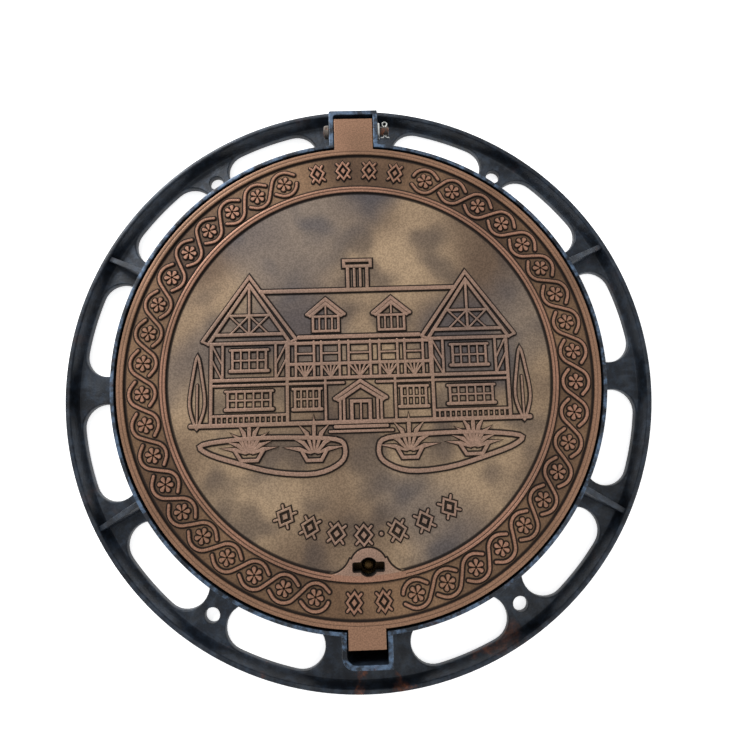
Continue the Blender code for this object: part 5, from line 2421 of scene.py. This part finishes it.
def wire_along(name: str, route: Sequence[Vector], radius: float, sides: int,
        material: Finish) -> Solid:
    """Make a round wire along a route in millimetres, with eased ends.

    Args:
        name: Name of the object.
        route: The points that the wire follows.
        radius: Radius of the wire.
        sides: Flats round the wire.
        material: The finish.

    Returns:
        The wire as a closed solid.
    """
    rings = []
    reference = Vector((0, 0, 1))
    count = len(route)
    for index, point in enumerate(route):
        before = route[max(index - 1, 0)]
        after = route[min(index + 1, count - 1)]
        along = (after - before).normalized()
        across = along.cross(reference).normalized()
        up = across.cross(along).normalized()
        circle = [across * math.cos(math.tau * k / sides) + up * math.sin(math.tau * k / sides)
            for k in range(sides)]
        if index == 0:
            rings.append([point - along * radius * 0.4 + way * radius * 0.55 for way in circle])
        rings.append([point + way * radius for way in circle])
        if index == count - 1:
            rings.append([point + along * radius * 0.4 + way * radius * 0.55 for way in circle])
    return smoothed(dressed(from_rings(name, rings), material))


@dataclass
class Lock:
    """The quarter-turn lock: housing, screws, plug, spring, washers, tongue and nut."""

    datums: Datums
    touch: float = 0.3
    plate_underside: float = 84.0
    flange_radius: float = 37.2
    flange_thickness: float = 4.7
    body_radius: float = 23.8
    bore: float = 21.0
    housing_under: float = 46.6
    housing_floor: float = 56.0
    screw_circle: float = 30.5
    screw_radius: float = 2.4
    shaft: float = 9.0
    disc: tuple[float, float] = (70.0, 76.0)
    dome_radius: float = 8.0
    dome_top: float = 89.0
    lug: tuple[float, float, float, float] = (3.5, 10.5, 18.5, 80.5)
    tongue: tuple[float, float] = (36.0, 44.1)
    tongue_length: float = 68.0
    tongue_half: float = 12.0
    tongue_hub: float = 15.5
    square_half: float = 5.6
    thread: float = 5.0
    thread_end: float = 23.5

    def at_lock(self, piece: Solid) -> Solid:
        """Move a piece made round the origin to the lock's axis."""
        return shifted(piece, *self.datums.lock)

    def housing(self, shop: Shop, finishes: Finishes) -> Solid:
        """The flanged cup that carries the plug.

        Args:
            shop: The shape maker.
            finishes: The materials.

        Returns:
            The housing.
        """
        top = self.plate_underside - self.touch
        flange = top - self.flange_thickness
        hole, body, under = self.shaft + self.touch, self.body_radius, self.housing_under
        section = [(self.flange_radius - 0.5, top), (self.flange_radius, top - 0.5),
            (self.flange_radius, flange + 0.6), (self.flange_radius - 0.6, flange),
            (body + 1.0, flange), (body + 0.2, flange - 0.8), (body, flange - 2),
            (body, under + 1.2), (body - 1.2, under), (hole + 0.5, under), (hole, under + 0.5),
            (hole, self.housing_floor - 0.5), (hole + 0.5, self.housing_floor),
            (self.bore - 1, self.housing_floor), (self.bore, self.housing_floor + 1),
            (self.bore, top - 0.5), (self.bore + 0.5, top)]
        cup = shop.turned("flanged_cup", section, 72)
        drill = shifted(rod("drill", self.screw_radius + self.touch, flange - 2, top + 2, 20), 0.0,
            self.screw_circle)
        carved(cup, [shop.around(drill, 45, 90, 4)])
        return smoothed(self.at_lock(dressed(cup, finishes.zinc)))

    def screw(self, shop: Shop) -> Solid:
        """One hexagon screw with its threaded shank, on the screw circle at bearing zero.

        Args:
            shop: The shape maker.

        Returns:
            The screw without its finish.
        """
        head_top = self.plate_underside - 2 * self.touch - self.flange_thickness - 1.4 - self.touch
        head = shop.turned("head", chamfered_bar(5.5, head_top - 4, head_top, 0.45), 6,
            closed=False)
        shank = shop.turned("shank", threaded(self.screw_radius, head_top - 2, 91.8, 0.8), 24,
            closed=False)
        return shifted(joined("hexagon_screw", [head, shank]), 0.0, self.screw_circle)

    def washer_ring(self, shop: Shop) -> Solid:
        """One screw washer on the screw circle at bearing zero.

        Args:
            shop: The shape maker.

        Returns:
            The washer without its finish.
        """
        high = self.plate_underside - 2 * self.touch - self.flange_thickness
        section = ring_section(self.screw_radius + self.touch, 6.2, high - 1.4, high, 0.2)
        return shifted(shop.turned("washer", section, 32), 0.0, self.screw_circle)

    def plug(self, shop: Shop, finishes: Finishes) -> Solid:
        """The turned brass plug: dome, disc with two lugs, shaft, square and thread.

        Args:
            shop: The shape maker.
            finishes: The materials.

        Returns:
            The plug.
        """
        base = self.dome_top - self.dome_radius
        dome = [(self.dome_radius * math.sin(math.radians(a)), base
            + self.dome_radius * math.cos(math.radians(a))) for a in range(0, 90, 9)]
        low, high = self.disc
        rim = self.bore - 0.6
        square_top = self.tongue[1] + self.touch
        section = dome + [(self.dome_radius, base), (self.dome_radius, high + 1),
            (self.dome_radius + 1, high), (rim - 0.5, high), (rim, high - 0.5), (rim, low + 0.5),
            (rim - 0.5, low), (self.shaft + 0.6, low), (self.shaft, low - 0.6),
            (self.shaft, square_top + 0.4), (self.shaft - 0.4, square_top), (0.0, square_top)]
        body = shop.turned("plug_body", section, 56, closed=False)
        tail = shop.turned("tail", threaded(self.thread, self.thread_end, square_top + 2, 1.25),
            32, closed=False)
        half = self.square_half
        square = bevelled(block("square", (-half, -half, self.tongue[0] + 0.8),
            (half, half, square_top + 2)), 0.5)
        lug_half, lug_in, lug_out, lug_top = self.lug
        lug = bevelled(block("lug", (-lug_half, lug_in, high - 2),
                             (lug_half, lug_out, lug_top)), 0.6)
        lugs = shop.around(lug, 0, 180, 2)
        plug = joined("brass_plug", [body, tail, square, lugs])
        soil_and_shade(plug, self.plug_grime_and_shade)
        return smoothed(self.at_lock(dressed(plug, finishes.brass)))

    def plug_grime_and_shade(self, point: Vector) -> float:
        """Dirt and painted shade of the plug: some on the dome, more on the disc under it."""
        if point.z > self.dome_top - 3.0:
            return 0.55
        return 0.9 if point.z > self.disc[1] - 1 else 0.0

    def spring(self, finishes: Finishes) -> Solid:
        """The coil spring between the housing's floor and the plug's disc.

        Args:
            finishes: The materials.

        Returns:
            The spring.
        """
        wire, coil, turns, per_turn = 1.2, 15.0, 3, 36
        low = self.housing_floor + self.touch + wire
        high = self.disc[0] - self.touch - wire
        lock_x, lock_y = self.datums.lock
        route = []
        for step in range(turns * per_turn + 1):
            angle = math.tau * step / per_turn
            share = step / (turns * per_turn)
            route.append(Vector((lock_x + coil * math.cos(angle), lock_y + coil * math.sin(angle),
                low + (high - low) * share)))
        return wire_along("coil_spring", route, wire, 10, finishes.dark_steel)

    def tongue_bar(self, finishes: Finishes) -> Solid:
        """The locking tongue with its square hole and rounded tip.

        Args:
            finishes: The materials.

        Returns:
            The tongue.
        """
        low, high = self.tongue
        half, hub = self.tongue_half, self.tongue_hub
        edge = math.degrees(math.asin(half / hub))
        outline = arc((0.0, 0.0), hub, edge, 360 - edge, 41)
        outline += arc((self.tongue_length - half, 0.0), half, -90, 90, 21)
        bar = bevelled(lofted("tongue_bar", [(outline, low), (outline, high)]), 0.8, 3)
        hole = self.square_half + self.touch
        cut = block("square_hole", (-hole, -hole, low - 2), (hole, hole, high + 2))
        return smoothed(self.at_lock(dressed(carved(bar, [cut]), finishes.zinc)))

    def nut(self, shop: Shop, finishes: Finishes) -> Solid:
        """The hexagon nut under the tongue.

        Args:
            shop: The shape maker.
            finishes: The materials.

        Returns:
            The nut.
        """
        high = self.tongue[0] - self.touch - 2 - self.touch
        nut = shop.turned("nut", chamfered_bar(9.8, high - 8, high, 0.8), 6, closed=False)
        bore = rod("nut_bore", self.thread + self.touch, high - 10, high + 2, 32)
        return smoothed(self.at_lock(dressed(carved(nut, [bore]), finishes.zinc)))

    def ring(self, shop: Shop, name: str, inner: float, outer: float, low: float, high: float,
            material: Finish) -> Solid:
        """A flat ring with eased edges on the lock's axis."""
        section = ring_section(inner, outer, low, high)
        return smoothed(self.at_lock(shop.turned(name, section, 64, material)))

    def build_fixed(self, shop: Shop, finishes: Finishes) -> dict[str, list]:
        """Make the pieces that stay with the cover: a piece and its nodes under each name.

        Args:
            shop: The shape maker.
            finishes: The materials.

        Returns:
            Each slot with its pieces and the nodes they stand for.
        """
        screws = shop.around(self.screw(shop), 45, 90, 4, finishes.zinc)
        washers = shop.around(self.washer_ring(shop), 45, 90, 4, finishes.zinc)
        screws.name, washers.name = "housing_screws", "housing_screw_washers"
        numbers = range(1, 5)
        thrust = self.ring(shop, "thrust_washer", self.shaft + self.touch, 17.0,
            self.tongue[1] + self.touch, self.housing_under - self.touch, finishes.brass)
        return {"zinc_steel": [(self.housing(shop, finishes), ["lock_housing"]),
            (smoothed(self.at_lock(screws)), ["lock_screw_%d" % n for n in numbers]),
            (smoothed(self.at_lock(washers)), ["lock_screw_washer_%d" % n for n in numbers])],
            "dark_steel": [(self.spring(finishes), ["lock_spring"])],
            "lock_brass": [(thrust, ["lock_thrust_washer"])]}

    def build_turning(self, shop: Shop, finishes: Finishes) -> dict[str, list]:
        """Make the pieces that turn with the plug.

        Args:
            shop: The shape maker.
            finishes: The materials.

        Returns:
            Each slot with its pieces and the nodes they stand for.
        """
        washer_high = self.tongue[0] - self.touch
        washer = self.ring(shop, "tongue_washer", self.thread + self.touch, 10.5, washer_high - 2,
            washer_high, finishes.zinc)
        return {"lock_brass": [(self.plug(shop, finishes), ["lock_plug"])],
            "zinc_steel": [(self.tongue_bar(finishes), ["lock_tongue"]),
            (washer, ["lock_tongue_washer"]), (self.nut(shop, finishes), ["lock_nut"])]}


def chamfered_bar(radius: float, low: float, high: float, ease: float) -> list[Point]:
    """Open section of a solid bar with chamfered ends, from its top to its bottom."""
    return [(0.0, high), (radius - ease * 1.6, high), (radius, high - ease), (radius, low + ease),
        (radius - ease * 1.6, low), (0.0, low)]


def threaded(radius: float, low: float, high: float, pitch: float) -> list[Point]:
    """Open section of a threaded bar, drawn as rings of crests and roots.

    Args:
        radius: Radius of the crests.
        low: Its lower end.
        high: Its upper end.
        pitch: Distance between crests.

    Returns:
        The section.
    """
    section = [(0.0, high), (radius - 0.6, high)]
    turns = int((high - low - 1) / pitch)
    for turn in range(turns):
        crest = high - 0.6 - turn * pitch
        section += [(radius, crest), (radius, crest - pitch * 0.15),
            (radius - pitch * 0.45, crest - pitch * 0.55)]
    return section + [(radius - 0.6, low), (0.0, low)]


# ---- studio ------------------------------------------------------------------------------------
@dataclass(frozen=True)
class Studio:
    """Plain floor, soft light and the camera, which looks down from near the middle."""

    floor_half: float = 30.0
    lens: float = 26.2
    sensor: float = 36.0
    camera_place: tuple[float, float, float] = (0.0070, -0.1020, 0.8129)
    camera_turn: tuple[float, float, float] = (-8.03, 1.02, -1.826)
    world_strength: float = 0.62
    key_power: float = 92.0
    key_place: tuple[float, float, float] = (-1.7, 2.2, 1.9)
    key_size: float = 1.3
    fill_power: float = 8.0
    fill_place: tuple[float, float, float] = (1.6, -1.2, 1.6)
    fill_size: float = 1.8
    floor_drop: float = 0.0006
    floor_glow: float = 0.7
    floor_greys: tuple[float, float] = (0.90, 0.94)
    sky: Colour = (0.97, 0.985, 1.0, 1.0)

    def floor(self) -> Solid:
        """Make the pale floor just under the frame.

        Returns:
            The floor.
        """
        half = self.floor_half
        mesh = bpy.data.meshes.new("studio_floor")
        low = CAD_BOX[0].z - self.floor_drop
        corners = [(-half, -half, low), (half, -half, low), (half, half, low), (-half, half, low)]
        mesh.from_pydata(corners, [], [(0, 1, 2, 3)])
        floor = new_piece("studio_floor", mesh)
        material = bpy.data.materials.new("pale_floor")
        material.use_nodes = True
        tree = material.node_tree
        shader = tree.nodes["Principled BSDF"]
        place = add_node(tree, "ShaderNodeTexCoord").outputs["Object"]
        faint = scaled(tree, noise(tree, place, 3.0, 4.0), 0.3, 0.7)
        darker, paler = ((grey, grey, grey, 1) for grey in self.floor_greys)
        tree.links.new(tone_mix(tree, faint, darker, paler), shader.inputs["Base Color"])
        shader.inputs["Roughness"].default_value = 0.9
        shader.inputs["Emission Color"].default_value = (1, 1, 1, 1)
        shader.inputs["Emission Strength"].default_value = self.floor_glow
        seen_from_below = add_node(tree, "ShaderNodeNewGeometry").outputs["Backfacing"]
        clear = add_node(tree, "ShaderNodeBsdfTransparent").outputs[0]
        mix = add_node(tree, "ShaderNodeMixShader", {0: seen_from_below, 1: shader.outputs[0],
            2: clear})
        tree.links.new(mix.outputs[0], tree.nodes["Material Output"].inputs["Surface"])
        mesh.materials.append(material)
        return floor

    def area_light(self, name: str, place: Sequence[float], size: float, power: float) -> None:
        """Hang a square area light that faces the middle of the cover.

        Args:
            name: Name of the light.
            place: Where it hangs, in metres.
            size: Length of its side.
            power: Its power in watts.
        """
        lamp = bpy.data.lights.new(name, "AREA")
        lamp.size = size
        lamp.energy = power
        light = bpy.data.objects.new(name, lamp)
        light.location = place
        light.rotation_euler = (-Vector(place)).to_track_quat("-Z", "Y").to_euler()
        bpy.context.scene.collection.objects.link(light)

    def camera(self) -> None:
        """Set the camera up."""
        tilt, roll_y, roll = (math.radians(angle) for angle in self.camera_turn)
        data = bpy.data.cameras.new("camera")
        data.sensor_width = self.sensor
        data.lens = self.lens
        data.clip_start = 0.01
        camera = bpy.data.objects.new("camera", data)
        turn = Matrix.Rotation(-roll_y, 4, "Y") @ Matrix.Rotation(-tilt, 4, "X")
        camera.matrix_world = (Matrix.Translation(self.camera_place) @ turn @ Matrix.Rotation(
            roll, 4, "Z"))
        bpy.context.scene.collection.objects.link(camera)
        bpy.context.scene.camera = camera

    def set_up(self) -> None:
        """Make the floor, the lights, the world and the camera."""
        self.floor()
        self.area_light("key_light", self.key_place, self.key_size, self.key_power)
        self.area_light("fill_light", self.fill_place, self.fill_size, self.fill_power)
        world = bpy.data.worlds.new("studio")
        world.use_nodes = True
        background = world.node_tree.nodes["Background"]
        background.inputs["Color"].default_value = self.sky
        background.inputs["Strength"].default_value = self.world_strength
        bpy.context.scene.world = world
        bpy.context.scene.view_settings.view_transform = "Standard"
        self.camera()


# ---- assembly ----------------------------------------------------------------------------------
def settle(piece: Solid, body: Body, nodes: Sequence[str] = ()) -> None:
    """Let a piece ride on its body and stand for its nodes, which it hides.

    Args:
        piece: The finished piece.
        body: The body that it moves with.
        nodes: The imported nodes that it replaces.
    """
    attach(piece, body.value)
    if nodes:
        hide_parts(*nodes)
    LOG.info("%s: %d faces on %s", piece.name, len(piece.data.polygons), body.value)


def main() -> None:
    """Build every sub-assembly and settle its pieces."""
    logging.basicConfig(level=logging.INFO, format="%(name)s %(message)s")
    datums = Datums.read()
    shop = Shop()
    finishes = Finishes()
    Studio().set_up()

    cover = Cover(datums)
    settle(cover.build(shop, finishes), Body.COVER, ["cover_casting"])
    border = Border(cover.field_height)
    for piece in border.dress(shop, finishes.copper):
        settle(smoothed(piece), Body.COVER)
    for piece in Picture(cover.field_height).dress(shop, border, finishes.copper):
        settle(smoothed(piece), Body.COVER)

    settle(AnchorFrame(datums).build(shop, finishes), Body.FRAME,
        ["frame_casting"])
    settle(Seal().build(shop, finishes), Body.FRAME, ["seat_gasket"])

    for node, piece in Hinge(datums).build(shop, finishes).items():
        body = Body.COVER if node == "hinge_bush" else Body.FRAME
        settle(piece, body, [node])

    lock = Lock(datums)
    for body, groups in ((Body.COVER, lock.build_fixed(shop, finishes)),
            (Body.LOCK, lock.build_turning(shop, finishes))):
        for slot, pieces in groups.items():
            for piece, nodes in pieces:
                settle(piece, body, nodes)


if __name__ == "__main__":
    main()
